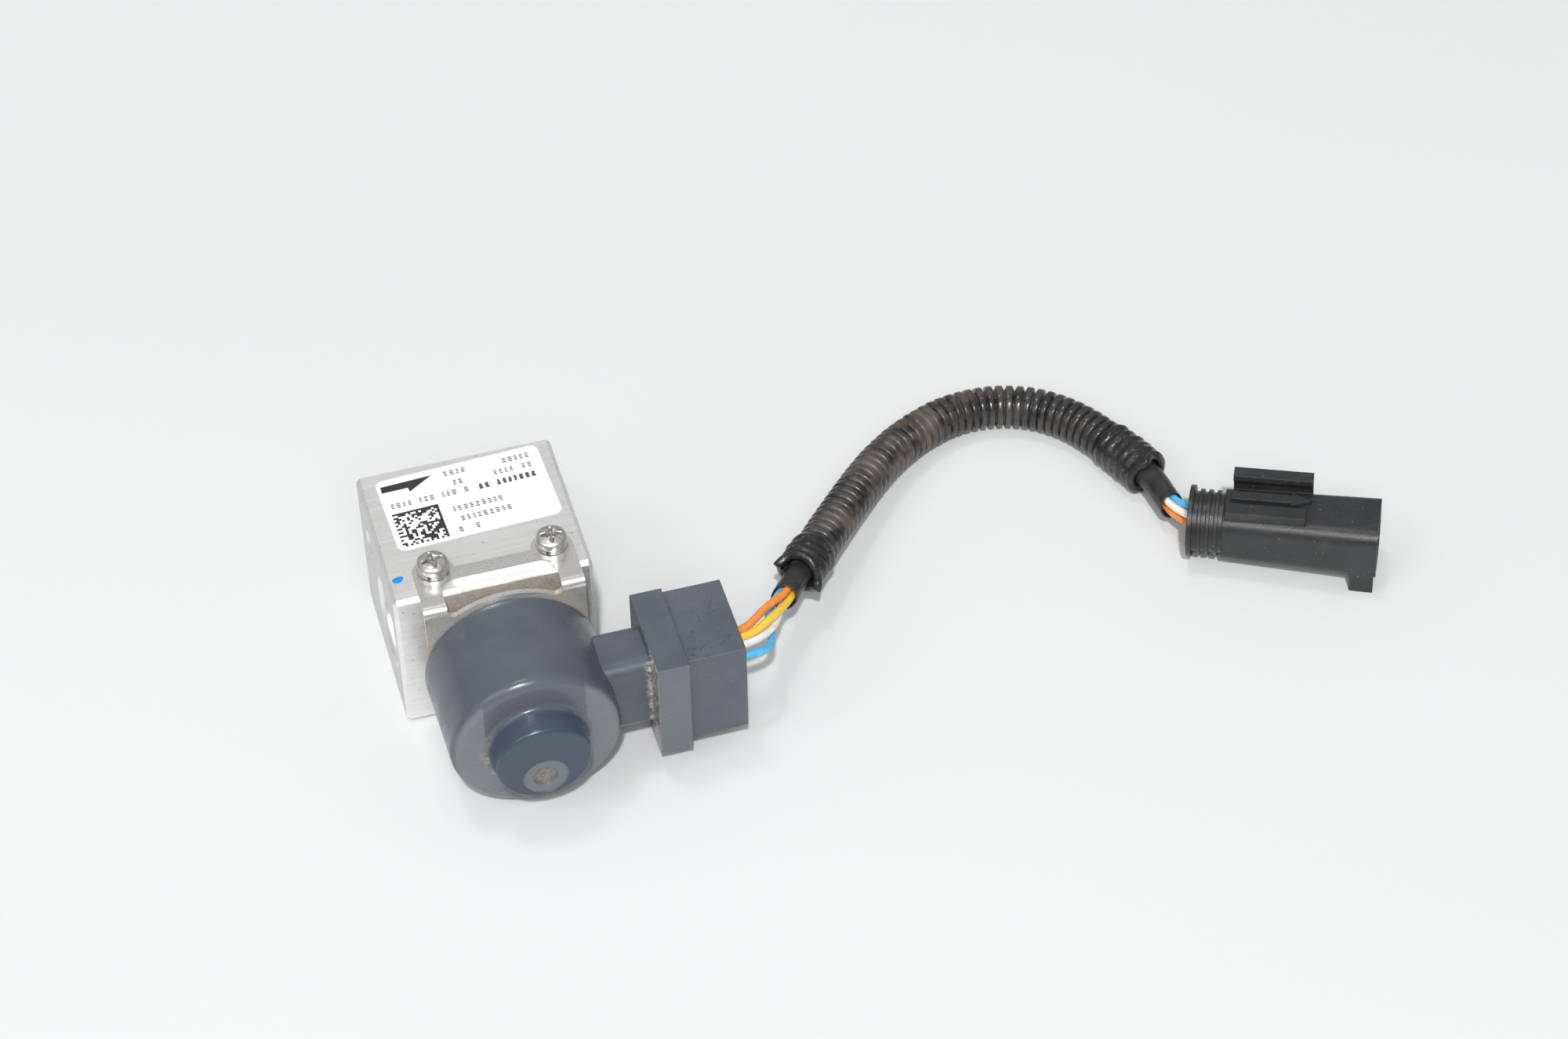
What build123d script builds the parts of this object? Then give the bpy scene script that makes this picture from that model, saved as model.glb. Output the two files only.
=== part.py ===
"""Motor-driven expansion valve with its coil, terminal box, four-wire lead and plug.

Row frame: origin at the centre of the block's bottom face, +X along the flow, +Y to the back, +Z up.
The valve's own axis runs along Y. Distances "ahead" are measured along it from the block's front face,
positive towards the coil's nose and negative into the block.
"""

import os
from math import cos, pi, radians, sin, sqrt, tan

from build123d import *

os.makedirs("parts", exist_ok=True)

# Block
BLOCK_W = 44.0
BLOCK_D = 40.4
BLOCK_H = 38.2
BLOCK_EDGE = 0.9
AXIS_X = 1.3
AXIS_Z = 19.3
PORT_SHIFT = 7.2
PORT_R = 9.6
PORT_DEPTH = 7.0
PORT_BORE_R = 4.9
BOLT_HOLE_R = 2.6
BOLT_HOLE_DEPTH = 14.0
BOLT_SHIFT = 9.1
BOLT_Z = 27.7
MOUTH_CHAMFER = 0.8

# Stepped bore for the valve cartridge
RECESS_R = 10.2
RECESS_END = -6.0
CHAMBER_R = 7.5
SEAT_R = 5.0
SEAT_TOP = -18.0
SEAT_END = -22.4
OUTLET_R = 3.6
OUTLET_END = -31.5
ORIFICE_R = 1.2

# Needle, guide and rotor
NEEDLE_R = 1.5
NEEDLE_TIP_R = 0.43
NEEDLE_TIP = -19.8
NEEDLE_SHOULDER = -16.8
NEEDLE_END = 29.8
COLLAR_R = 2.7
COLLAR_NEAR = 20.6
COLLAR_FAR = 21.6
RUNNING_GAP = 0.05
GUIDE_R = 3.0
GUIDE_FLANGE_R = 4.0
GUIDE_END = 20.0
BASE_R = 10.1
BASE_FACE = 1.4
BASE_HUB_END = 4.4
O_RING_R = 0.95
O_RING_AHEAD = -4.4
HUB_R = 4.55
HUB_NEAR = 7.9
HUB_CAP_NEAR = 27.0
HUB_CAP_FAR = 28.2
HUB_FLANGE_R = 6.2
HUB_FLANGE_NEAR = 9.6
MAGNET_R = 7.3
MAGNET_NEAR = 10.8
MAGNET_FAR = 25.8
CLIP_R = 2.9
CLIP_THICK = 0.8
SPRING_R = 2.15
SPRING_WIRE_R = 0.3
SPRING_TURNS = 4.5
STOP_R = 5.2
STOP_FAR = 6.4
STOP_LUG_FAR = 7.6
HUB_LUG_NEAR = 7.3
LUG_W = 1.1
LUG_INNER_R = 3.4
LUG_ANGLE = 24.0

# Can, stator and coil
CAN_R = 8.3
CAN_WALL = 0.5
CAN_END = 34.8
CAN_DOME_R = 3.0
PLATE_NEAR = 4.6
SHEET = 1.2
COIL_NEAR = PLATE_NEAR + SHEET
COIL_FAR = 30.5
COIL_REAR_R = 19.2
COIL_FRONT_R = 18.7
COIL_REAR_EDGE = 0.5
COIL_EDGE = 2.3
COIL_BORE_R = 8.5
COIL_BORE_END = 35.0
NOSE_BASE_R = 11.0
NOSE_TOP_R = 10.3
NOSE_END = 36.8
NOSE_ROOT = 1.2
NOSE_EDGE = 1.0
MARK_R = 5.0
MARK_DEPTH = 0.25
MARK_DROP = 4.2
GATE_R = 2.7
GATE_DEPTH = 0.8
STATOR_IN_R = 9.3
STATOR_OUT_R = 16.6
STATOR_LENGTH = 22.0
YOKE_SHEET = 0.9
CLAWS = 8
CLAW_W = 3.2
CLAW_LENGTH = 8.0
CLAW_SHEET = 0.45
BOBBIN_WALL = 0.7
WINDING_INSET = 0.4

# Neck, collar, terminal box and its pins
NECK_Y = -37.4
NECK_W = 13.6
NECK_Z = 18.5
NECK_H = 19.8
NECK_EDGE = 3.4
COLLAR_X = 28.2
COLLAR_LENGTH = 7.1
COLLAR_Y = -38.3
COLLAR_Z = 19.1
COLLAR_W = 23.8
COLLAR_H = 26.1
BOX_Y = -37.55
BOX_LENGTH = 13.0
BOX_W = 21.5
BOX_H = 24.4
BOX_WALL = 1.6
SPIGOT_LENGTH = 5.0
SPIGOT_INSET = 0.5
POTTING_DROP = 1.0
CRISP_EDGE = 0.3
PIN_SIDE = 0.8
PIN_PITCH = 2.54
PIN_NEAR = 18.6
PIN_FAR = 43.0

# Bracket, its fasteners and the label
BRACKET_W = 35.4
BEND_R = 1.0
SCREW_SPAN = 26.2
SCREW_BACK = 5.8
EAR_R = 4.6
FLANGE_BACK = 6.1
WINDOW_W = 25.2
WINDOW_BACK = 2.4
WINDOW_CORNER = 3.6
STRIP_R = 20.5
STRIP_CORNER = 1.4
CAN_HOLE_R = 8.9
THREAD_R = 2.0
SHANK_LENGTH = 10.0
HEAD_R = 3.45
HEAD_H = 2.5
HEAD_EDGE = 1.2
CROSS_SPAN = 4.2
CROSS_W = 0.9
CROSS_DEPTH = 1.5
SPRING_WASHER_R = 3.35
SPRING_WASHER_H = 1.0
WASHER_SPLIT = 0.7
FLAT_WASHER_R = 3.6
FLAT_WASHER_H = 0.6
LABEL_L = 37.0
LABEL_W = 22.2
LABEL_X = 0.6
LABEL_Y = 6.6
LABEL_TURN = 2.4
LABEL_THICK = 0.1
LABEL_CORNER = 1.8

# Lead
WIRE_R = 0.9
BUNDLE_R = 1.4
BUNDLE_TWIST = -120.0
SLEEVE_R = 2.9
SLEEVE_BORE_R = 2.45
SLEEVE_INSERT = 8.0
CONDUIT_R = 5.0
CONDUIT_BORE_R = 3.7
TAPE_R = 5.3
TAPE_LENGTH = 8.0
TAPE_END = 0.6
ARC_SHARE = 0.45

# The bundle's centre line, from the mouth of one sleeve to the mouth of the other
BUNDLE_ROUTE = [
    (64.4, -21.0, 14.5),
    (70.4, -13.2, 13.0),
    (82.0, 0.8, 10.9),
    (94.6, 15.3, 8.4),
    (103.0, 23.4, 6.8),
    (111.4, 29.1, 5.7),
    (120.8, 33.0, 5.1),
    (131.3, 33.2, 5.05),
    (141.1, 29.4, 5.05),
    (148.4, 22.6, 5.05),
    (153.1, 14.3, 5.05),
    (156.6, 6.6, 5.3),
    (158.6, 0.7, 5.5),
    (159.6, -5.7, 5.9),
    (160.0, -11.9, 6.5),
]
CONDUIT_FIRST = 1
CONDUIT_LAST = 12

# The white and the blue wire change places inside the hose, between these points of the route
SWAP_FIRST = 3
SWAP_LAST = 7

# Each wire: where it leaves the potting, its points up to the sleeve, its angle in the bundle, how far
# it turns to change places, and how far it steps out of the circle to do so
WIRES = {
    "wire_orange": (-32.2, [(52.4, -32.2, 19.1), (58.4, -26.6, 18.8)], 75.0, 0.0, 0.0),
    "wire_yellow": (-34.2, [(52.9, -34.2, 19.1), (60.2, -28.6, 18.0)], -15.0, 0.0, 0.0),
    "wire_white": (-36.3, [(53.2, -36.3, 19.1), (60.6, -31.6, 13.8)], -105.0, -90.0, -0.55),
    "wire_blue": (
        -39.5,
        [(52.8, -39.5, 19.1), (57.6, -36.2, 15.0), (59.4, -30.0, 11.8), (60.0, -24.6, 13.0)],
        165.0,
        90.0,
        1.45,
    ),
}

# Plug: distances run along its own axis from its rear face
PLUG_REAR = (161.4, -19.2, 8.4)
PLUG_YAW = -27.0
PLUG_PITCH = 3.5
SEAL_FLANGE_R = 8.25
SEAL_FLANGE_THICK = 1.1
SEAL_R = 6.9
SEAL_BORE_R = 6.1
SEAL_LENGTH = 8.0
SEAL_RIB_R = 7.5
SEAL_RIB_W = 0.8
SEAL_RIBS = (2.7, 4.6, 6.5)
SEAL_WEB_NEAR = 6.0
SEAL_SPIGOT_R = 5.4
SEAL_SPIGOT_END = 12.0
PLUG_FAR = 43.0
PLUG_NEAR_W = 13.6
PLUG_NEAR_H = 12.8
PLUG_FAR_W = 15.2
PLUG_FAR_H = 14.2
PLUG_TOP = 6.4
PLUG_CORNER = 3.4
MOUTH_DEPTH = 16.0
MOUTH_W = 11.8
MOUTH_H = 11.0
MOUTH_CORNER = 2.0
TERMINAL_SPREAD = 2.3
TERMINAL_R = 1.1
TERMINAL_NEAR = 8.4
BLADE_W = 1.5
BLADE_T = 0.8
BLADE_FAR = 38.0
RAIL_NEAR = 9.5
RAIL_FAR = 27.5
RAIL_TOP = 10.7
RAIL_OUTER = 7.7
RAIL_WALL = 1.6
RAIL_HOOK_W = 3.0
RAIL_HOOK_H = 1.6
TONGUE_V = 1.6
TONGUE_W = 2.6
TONGUE_TOP = 7.9
ARROW_W = 4.2
ARROW_LENGTH = 4.5
PLATFORM_NEAR = 8.6
PLATFORM_FAR = 26.6
PLATFORM_V = -3.4
PLATFORM_W = 3.6
PLATFORM_TOP = 8.4
FOOT_NEAR = 37.2
FOOT_LENGTH = 5.3
FOOT_W = 3.4
FOOT_DROP = 3.0

# How the wires bend inside the plug's rear: along the axis, to the side, and the pattern's radius
WIRE_ENTRY = [(-0.5, 1.6, 1.85), (4.0, 0.0, TERMINAL_SPREAD), (TERMINAL_NEAR, 0.0, TERMINAL_SPREAD)]

FRONT_Y = -BLOCK_D / 2
axis_origin = Vector(AXIS_X, FRONT_Y, AXIS_Z)
ahead_dir = Vector(0, -1, 0)
valve_axis = Axis(axis_origin, ahead_dir)
turning = Plane(origin=axis_origin, x_dir=(1, 0, 0), z_dir=(0, 0, -1))
screw_spots = [(AXIS_X + side * SCREW_SPAN / 2, FRONT_Y + SCREW_BACK) for side in (-1, 1)]


def across(ahead):
    """The plane across the valve's axis, seen from the coil's nose."""
    return Plane(origin=axis_origin + ahead_dir * ahead, x_dir=(1, 0, 0), z_dir=ahead_dir)


def side_plane(x, y, z):
    """A plane across X, seen from the right, with its own x to the back and its y up."""
    return Plane(origin=(x, y, z), x_dir=(0, 1, 0), z_dir=(1, 0, 0))


def ring(r_in, r_out, near, far, mode=Mode.ADD):
    """Half section of a ring, in a sketch on the turning plane."""
    with Locations(((r_in + r_out) / 2, (near + far) / 2)):
        Rectangle(r_out - r_in, far - near, mode=mode)


# The machined block: a stepped bore from the front, a port and a threaded hole on each side
with BuildPart() as valve_body:
    Box(BLOCK_W, BLOCK_D, BLOCK_H, align=(Align.CENTER, Align.CENTER, Align.MIN))
    chamfer(valve_body.edges(), BLOCK_EDGE)
    with BuildSketch(turning):
        ring(0, RECESS_R, RECESS_END, 0)
        ring(0, CHAMBER_R, SEAT_TOP, RECESS_END)
        ring(0, SEAT_R, SEAT_END, SEAT_TOP)
        ring(0, OUTLET_R, OUTLET_END, SEAT_END)
    revolve(axis=valve_axis, mode=Mode.SUBTRACT)
    for side in (-1, 1):
        face_x = side * BLOCK_W / 2
        with Locations(Plane(origin=(face_x, side * PORT_SHIFT, AXIS_Z), z_dir=(side, 0, 0))):
            CounterBoreHole(PORT_BORE_R, PORT_R, PORT_DEPTH, depth=BLOCK_W / 2 - side * AXIS_X)
        with Locations(Plane(origin=(face_x, -side * BOLT_SHIFT, BOLT_Z), z_dir=(side, 0, 0))):
            Hole(BOLT_HOLE_R, depth=BOLT_HOLE_DEPTH)
    with BuildSketch(Plane.XY.offset(BLOCK_H)):
        with Locations(*screw_spots):
            Circle(THREAD_R)
    extrude(amount=-SHANK_LENGTH, mode=Mode.SUBTRACT)
    side_mouths = valve_body.edges().filter_by(GeomType.CIRCLE)
    side_mouths = side_mouths.filter_by(lambda edge: abs(abs(edge.center().X) - BLOCK_W / 2) < 0.01)
    chamfer(side_mouths, MOUTH_CHAMFER)

# The seat pressed into the block
with BuildPart() as valve_seat:
    with BuildSketch(turning):
        ring(ORIFICE_R, SEAT_R, SEAT_END, SEAT_TOP)
    revolve(axis=valve_axis)

# The base of the can, with the groove for its O-ring
with BuildPart() as can_base:
    with BuildSketch(turning):
        ring(GUIDE_FLANGE_R, BASE_R, RECESS_END, BASE_FACE)
        ring(GUIDE_FLANGE_R, CAN_R - CAN_WALL, BASE_FACE, BASE_HUB_END)
        groove_near = O_RING_AHEAD - O_RING_R
        groove_far = O_RING_AHEAD + O_RING_R
        ring(BASE_R - 2 * O_RING_R, BASE_R, groove_near, groove_far, mode=Mode.SUBTRACT)
    revolve(axis=valve_axis)

with BuildPart() as base_o_ring:
    with BuildSketch(turning):
        with Locations((BASE_R - O_RING_R, O_RING_AHEAD)):
            Circle(O_RING_R)
    revolve(axis=valve_axis)

# The guide on which the rotor climbs; its thread is not cut
with BuildPart() as guide_bush:
    with BuildSketch(turning):
        ring(NEEDLE_R + RUNNING_GAP, GUIDE_FLANGE_R, RECESS_END, BASE_HUB_END)
        ring(NEEDLE_R + RUNNING_GAP, GUIDE_R, BASE_HUB_END, GUIDE_END)
    revolve(axis=valve_axis)

with BuildPart() as stop_ring:
    with BuildSketch(turning):
        ring(GUIDE_R, STOP_R, BASE_HUB_END, STOP_FAR)
    revolve(axis=valve_axis)
    with BuildSketch(across(STOP_FAR)):
        with Locations(((LUG_INNER_R + STOP_R) / 2, 0)):
            Rectangle(STOP_R - LUG_INNER_R, LUG_W)
    extrude(amount=STOP_LUG_FAR - STOP_FAR)

# The needle with its collar, the spring that loads it and the ring on its end
with BuildPart() as valve_needle:
    with BuildSketch(turning):
        with BuildLine():
            Polyline(
                (0, NEEDLE_TIP),
                (NEEDLE_TIP_R, NEEDLE_TIP),
                (NEEDLE_R, NEEDLE_SHOULDER),
                (NEEDLE_R, NEEDLE_END),
                (0, NEEDLE_END),
                close=True,
            )
        make_face()
        ring(0, COLLAR_R, COLLAR_NEAR, COLLAR_FAR)
    revolve(axis=valve_axis)

with BuildPart() as needle_spring:
    spring_height = HUB_CAP_NEAR - COLLAR_FAR - 2 * SPRING_WIRE_R - RUNNING_GAP
    with BuildLine() as spring_line:
        Helix(
            pitch=spring_height / SPRING_TURNS,
            height=spring_height,
            radius=SPRING_R,
            center=axis_origin + ahead_dir * (COLLAR_FAR + SPRING_WIRE_R),
            direction=ahead_dir,
        )
    with BuildSketch(spring_line.line ^ 0):
        Circle(SPRING_WIRE_R)
    sweep(is_frenet=True)

with BuildPart() as needle_clip:
    clip_near = HUB_CAP_FAR + RUNNING_GAP
    with BuildSketch(turning):
        ring(NEEDLE_R, CLIP_R, clip_near, clip_near + CLIP_THICK)
    revolve(axis=valve_axis)

# The rotor: a threaded hub that carries the ring magnet and the moving stop
with BuildPart() as rotor_hub:
    with BuildSketch(turning):
        ring(GUIDE_R + RUNNING_GAP, HUB_R, HUB_NEAR, HUB_CAP_NEAR)
        ring(NEEDLE_R + RUNNING_GAP, HUB_R, HUB_CAP_NEAR, HUB_CAP_FAR)
        ring(HUB_R, HUB_FLANGE_R, HUB_FLANGE_NEAR, MAGNET_NEAR)
    revolve(axis=valve_axis)
    with BuildSketch(across(HUB_LUG_NEAR)):
        with PolarLocations((LUG_INNER_R + HUB_R) / 2, 1, start_angle=LUG_ANGLE):
            Rectangle(HUB_R - LUG_INNER_R, LUG_W)
    extrude(amount=HUB_NEAR - HUB_LUG_NEAR)

with BuildPart() as rotor_magnet:
    with BuildSketch(turning):
        ring(HUB_R, MAGNET_R, MAGNET_NEAR, MAGNET_FAR)
    revolve(axis=valve_axis)

# The closed can round the rotor
with BuildPart() as rotor_can:
    with BuildSketch(turning):
        ring(0, CAN_R, BASE_FACE, CAN_END)
    revolve(axis=valve_axis)
    fillet(rotor_can.edges().group_by(Axis.Y)[0], CAN_DOME_R)
    offset(amount=-CAN_WALL, openings=rotor_can.faces().sort_by(Axis.Y)[-1])


# The claw-pole stator: two phases, each a cup and a plate whose claws interleave round one winding
def claw_yoke(near, towards, cup):
    """A yoke with its disc at near and its claws, and a cup's wall, pointing towards +1 or -1 ahead."""
    disc = sorted((near, near + towards * YOKE_SHEET))
    wall = sorted((near, near + towards * STATOR_LENGTH / 2))
    with BuildPart() as yoke:
        with BuildSketch(turning):
            ring(STATOR_IN_R, STATOR_OUT_R - YOKE_SHEET, *disc)
            if cup:
                ring(STATOR_OUT_R - YOKE_SHEET, STATOR_OUT_R, *wall)
        revolve(axis=valve_axis)
        with BuildSketch(across(near + towards * YOKE_SHEET)):
            first_claw = 0 if cup else 180 / CLAWS
            with PolarLocations(STATOR_IN_R + YOKE_SHEET / 2, CLAWS, start_angle=first_claw):
                Rectangle(CLAW_SHEET, CLAW_W)
        extrude(amount=towards * CLAW_LENGTH)
    return yoke


def spool(near):
    """The bobbin of one phase, between its two yoke discs."""
    start = near + YOKE_SHEET
    end = near + STATOR_LENGTH / 2 - YOKE_SHEET
    inner = STATOR_IN_R + YOKE_SHEET
    outer = STATOR_OUT_R - YOKE_SHEET
    with BuildPart() as bobbin:
        with BuildSketch(turning):
            ring(inner, inner + BOBBIN_WALL, start, end)
            ring(inner, outer, start, start + BOBBIN_WALL)
            ring(inner, outer, end - BOBBIN_WALL, end)
        revolve(axis=valve_axis)
    return bobbin


def winding(near):
    """The wire wound on one bobbin, as one ring."""
    start = near + YOKE_SHEET + BOBBIN_WALL
    end = near + STATOR_LENGTH / 2 - YOKE_SHEET - BOBBIN_WALL
    inner = STATOR_IN_R + YOKE_SHEET + BOBBIN_WALL
    outer = STATOR_OUT_R - YOKE_SHEET - WINDING_INSET
    with BuildPart() as turns:
        with BuildSketch(turning):
            ring(inner, outer, start, end)
        revolve(axis=valve_axis)
    return turns


stator_middle = COIL_NEAR + STATOR_LENGTH / 2
stator_end = COIL_NEAR + STATOR_LENGTH
yoke_rear_cup = claw_yoke(COIL_NEAR, 1, cup=True)
yoke_rear_plate = claw_yoke(stator_middle, -1, cup=False)
yoke_front_plate = claw_yoke(stator_middle, 1, cup=False)
yoke_front_cup = claw_yoke(stator_end, -1, cup=True)
bobbin_rear = spool(COIL_NEAR)
bobbin_front = spool(stator_middle)
winding_rear = winding(COIL_NEAR)
winding_front = winding(stator_middle)

# The pins from the windings to the wires
with BuildPart() as contact_pins:
    with BuildSketch(side_plane(PIN_NEAR, BOX_Y, COLLAR_Z)):
        with GridLocations(PIN_PITCH, 0, 4, 1):
            Rectangle(PIN_SIDE, PIN_SIDE)
    extrude(amount=PIN_FAR - PIN_NEAR)

# The moulded coil: barrel, nose, neck and collar in one piece, open to the rear for the stator
collar_far = COLLAR_X + COLLAR_LENGTH
spigot_near = collar_far - SPIGOT_LENGTH
spigot_w = BOX_W - 2 * SPIGOT_INSET
spigot_h = BOX_H - 2 * SPIGOT_INSET
with BuildPart() as coil_housing:
    with BuildSketch(turning):
        with BuildLine():
            FilletPolyline(
                (0, COIL_NEAR),
                (COIL_REAR_R, COIL_NEAR),
                (COIL_FRONT_R, COIL_FAR),
                (NOSE_BASE_R, COIL_FAR),
                (NOSE_TOP_R, NOSE_END),
                (0, NOSE_END),
                radius=[COIL_REAR_EDGE, COIL_EDGE, NOSE_ROOT, NOSE_EDGE],
            )
            Line((0, NOSE_END), (0, COIL_NEAR))
        make_face()
    revolve(axis=valve_axis)
    with BuildSketch(side_plane(AXIS_X + STATOR_IN_R, NECK_Y, NECK_Z)):
        RectangleRounded(NECK_W, NECK_H, NECK_EDGE)
    extrude(amount=COLLAR_X - AXIS_X - STATOR_IN_R)
    with BuildSketch(side_plane(COLLAR_X, COLLAR_Y, COLLAR_Z)):
        RectangleRounded(COLLAR_W, COLLAR_H, CRISP_EDGE)
    extrude(amount=COLLAR_LENGTH)
    with BuildSketch(side_plane(spigot_near, BOX_Y, COLLAR_Z)):
        Rectangle(spigot_w, spigot_h)
    extrude(amount=SPIGOT_LENGTH, mode=Mode.SUBTRACT)
    with BuildSketch(turning):
        ring(0, COIL_BORE_R, COIL_NEAR, COIL_BORE_END)
        ring(STATOR_IN_R, STATOR_OUT_R, COIL_NEAR, stator_end)
    revolve(axis=valve_axis, mode=Mode.SUBTRACT)
    for radius, depth in ((MARK_R, MARK_DEPTH), (GATE_R, GATE_DEPTH)):
        with BuildSketch(across(NOSE_END)):
            with Locations((0, -MARK_DROP)):
                Circle(radius)
        extrude(amount=-depth, mode=Mode.SUBTRACT)
    add(contact_pins.part, mode=Mode.SUBTRACT)

# The box that plugs into the collar, and the resin that fills it
filling_near = spigot_near + BOX_WALL
filling_far = collar_far + BOX_LENGTH - POTTING_DROP
with BuildPart() as terminal_box:
    with BuildSketch(side_plane(collar_far, BOX_Y, COLLAR_Z)):
        RectangleRounded(BOX_W, BOX_H, CRISP_EDGE)
    extrude(amount=BOX_LENGTH)
    with BuildSketch(side_plane(spigot_near, BOX_Y, COLLAR_Z)):
        Rectangle(spigot_w, spigot_h)
    extrude(amount=SPIGOT_LENGTH)
    with BuildSketch(side_plane(filling_near, BOX_Y, COLLAR_Z)):
        Rectangle(BOX_W - 2 * BOX_WALL, BOX_H - 2 * BOX_WALL)
    extrude(amount=filling_far + POTTING_DROP - filling_near, mode=Mode.SUBTRACT)
    add(contact_pins.part, mode=Mode.SUBTRACT)

with BuildPart() as potting:
    with BuildSketch(side_plane(filling_near, BOX_Y, COLLAR_Z)):
        Rectangle(BOX_W - 2 * BOX_WALL, BOX_H - 2 * BOX_WALL)
    extrude(amount=filling_far - filling_near)
    add(contact_pins.part, mode=Mode.SUBTRACT)

# The bracket: a flange on the block, bent down to a plate behind the coil. The window over the bend
# leaves a thin upright strip that follows the coil's edge.
flange_top = BLOCK_H + SHEET
plate_r = BRACKET_W / 2
plate_low = AXIS_Z - plate_r
flange_back = FRONT_Y + SCREW_BACK + EAR_R
strip_low = sqrt(STRIP_R**2 - (WINDOW_W / 2) ** 2)
strip_top = STRIP_R + SHEET
window_low = AXIS_Z + strip_low
with BuildSketch() as above_strip:
    with BuildLine():
        ThreePointArc((-WINDOW_W / 2, strip_low), (0, STRIP_R), (WINDOW_W / 2, strip_low))
        Line((WINDOW_W / 2, strip_low), (WINDOW_W / 2, strip_top))
        Line((WINDOW_W / 2, strip_top), (-WINDOW_W / 2, strip_top))
        Line((-WINDOW_W / 2, strip_top), (-WINDOW_W / 2, strip_low))
    make_face()
    fillet(above_strip.vertices().group_by(Axis.Y)[0], STRIP_CORNER)

with BuildPart() as bracket:
    with BuildSketch(Plane.YZ.offset(AXIS_X - plate_r)):
        with BuildLine():
            FilletPolyline(
                (flange_back, flange_top),
                (FRONT_Y - COIL_NEAR, flange_top),
                (FRONT_Y - COIL_NEAR, plate_low),
                radius=BEND_R + SHEET,
            )
            Line((FRONT_Y - COIL_NEAR, plate_low), (FRONT_Y - PLATE_NEAR, plate_low))
            FilletPolyline(
                (FRONT_Y - PLATE_NEAR, plate_low),
                (FRONT_Y - PLATE_NEAR, BLOCK_H),
                (flange_back, BLOCK_H),
                radius=BEND_R,
            )
            Line((flange_back, BLOCK_H), (flange_back, flange_top))
        make_face()
    extrude(amount=BRACKET_W)
    with BuildSketch(Plane.XY):
        with Locations((AXIS_X, FRONT_Y - COIL_NEAR)):
            Rectangle(BRACKET_W, COIL_NEAR + SCREW_BACK, align=(Align.CENTER, Align.MIN))
            Rectangle(SCREW_SPAN, COIL_NEAR + FLANGE_BACK, align=(Align.CENTER, Align.MIN))
        with Locations(*screw_spots):
            Circle(EAR_R)
            Circle(THREAD_R, mode=Mode.SUBTRACT)
    extrude(amount=flange_top, mode=Mode.INTERSECT)
    with BuildSketch(across(COIL_NEAR)):
        Circle(plate_r)
        Rectangle(BRACKET_W, flange_top - AXIS_Z, align=(Align.CENTER, Align.MIN))
        Circle(CAN_HOLE_R, mode=Mode.SUBTRACT)
    extrude(amount=-(COIL_NEAR + SCREW_BACK + EAR_R), mode=Mode.INTERSECT)
    with BuildSketch(Plane.XY.offset(window_low)):
        with Locations((AXIS_X, FRONT_Y + WINDOW_BACK)):
            window_length = WINDOW_BACK + COIL_NEAR + 2 * WINDOW_CORNER
            RectangleRounded(WINDOW_W, window_length, WINDOW_CORNER, align=(Align.CENTER, Align.MAX))
    extrude(amount=flange_top - window_low, mode=Mode.SUBTRACT)
    with BuildSketch(across(PLATE_NEAR)):
        with Locations((0, strip_low)):
            Rectangle(WINDOW_W, STRIP_R - strip_low, align=(Align.CENTER, Align.MIN))
        add(above_strip.sketch_local, mode=Mode.SUBTRACT)
    extrude(amount=SHEET)

# Two pan-head screws with a cross recess, each over a split washer and a flat one
head_base = flange_top + FLAT_WASHER_H + SPRING_WASHER_H
with BuildPart() as bracket_screws:
    with BuildSketch(Plane.XY.offset(head_base)):
        with Locations(*screw_spots):
            Circle(HEAD_R)
    extrude(amount=HEAD_H)
    fillet(bracket_screws.edges().group_by(Axis.Z)[-1], HEAD_EDGE)
    with BuildSketch(Plane.XY.offset(head_base)):
        with Locations(*screw_spots):
            Circle(THREAD_R)
    extrude(amount=-SHANK_LENGTH)
    with BuildSketch(Plane.XY.offset(head_base + HEAD_H)):
        with Locations(*screw_spots):
            Rectangle(CROSS_SPAN, CROSS_W)
            Rectangle(CROSS_W, CROSS_SPAN)
    extrude(amount=-CROSS_DEPTH, mode=Mode.SUBTRACT)

with BuildPart() as spring_washers:
    with BuildSketch(Plane.XY.offset(flange_top + FLAT_WASHER_H)):
        with Locations(*screw_spots):
            Circle(SPRING_WASHER_R)
            Circle(THREAD_R, mode=Mode.SUBTRACT)
            Rectangle(2 * SPRING_WASHER_R, WASHER_SPLIT, align=(Align.MIN, Align.CENTER), mode=Mode.SUBTRACT)
    extrude(amount=SPRING_WASHER_H)

with BuildPart() as flat_washers:
    with BuildSketch(Plane.XY.offset(flange_top)):
        with Locations(*screw_spots):
            Circle(FLAT_WASHER_R)
            Circle(THREAD_R, mode=Mode.SUBTRACT)
    extrude(amount=FLAT_WASHER_H)

with BuildPart() as label:
    with BuildSketch(Plane((LABEL_X, LABEL_Y, BLOCK_H)).rotated((0, 0, LABEL_TURN))):
        RectangleRounded(LABEL_L, LABEL_W, LABEL_CORNER)
    extrude(amount=LABEL_THICK)

# The plug's own plane: x to its side, y up and z along its axis towards the mouth
plug_axis_dir = Vector(
    cos(radians(PLUG_PITCH)) * cos(radians(PLUG_YAW)),
    cos(radians(PLUG_PITCH)) * sin(radians(PLUG_YAW)),
    sin(radians(PLUG_PITCH)),
)
plug_side_dir = Vector(-sin(radians(PLUG_YAW)), cos(radians(PLUG_YAW)), 0)
plug_plane = Plane(origin=PLUG_REAR, x_dir=plug_side_dir, z_dir=plug_axis_dir)
plug_axis = Axis(plug_plane.origin, plug_axis_dir)
plug_turning = Plane(origin=PLUG_REAR, x_dir=plug_side_dir, z_dir=plug_side_dir.cross(plug_axis_dir))


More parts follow.
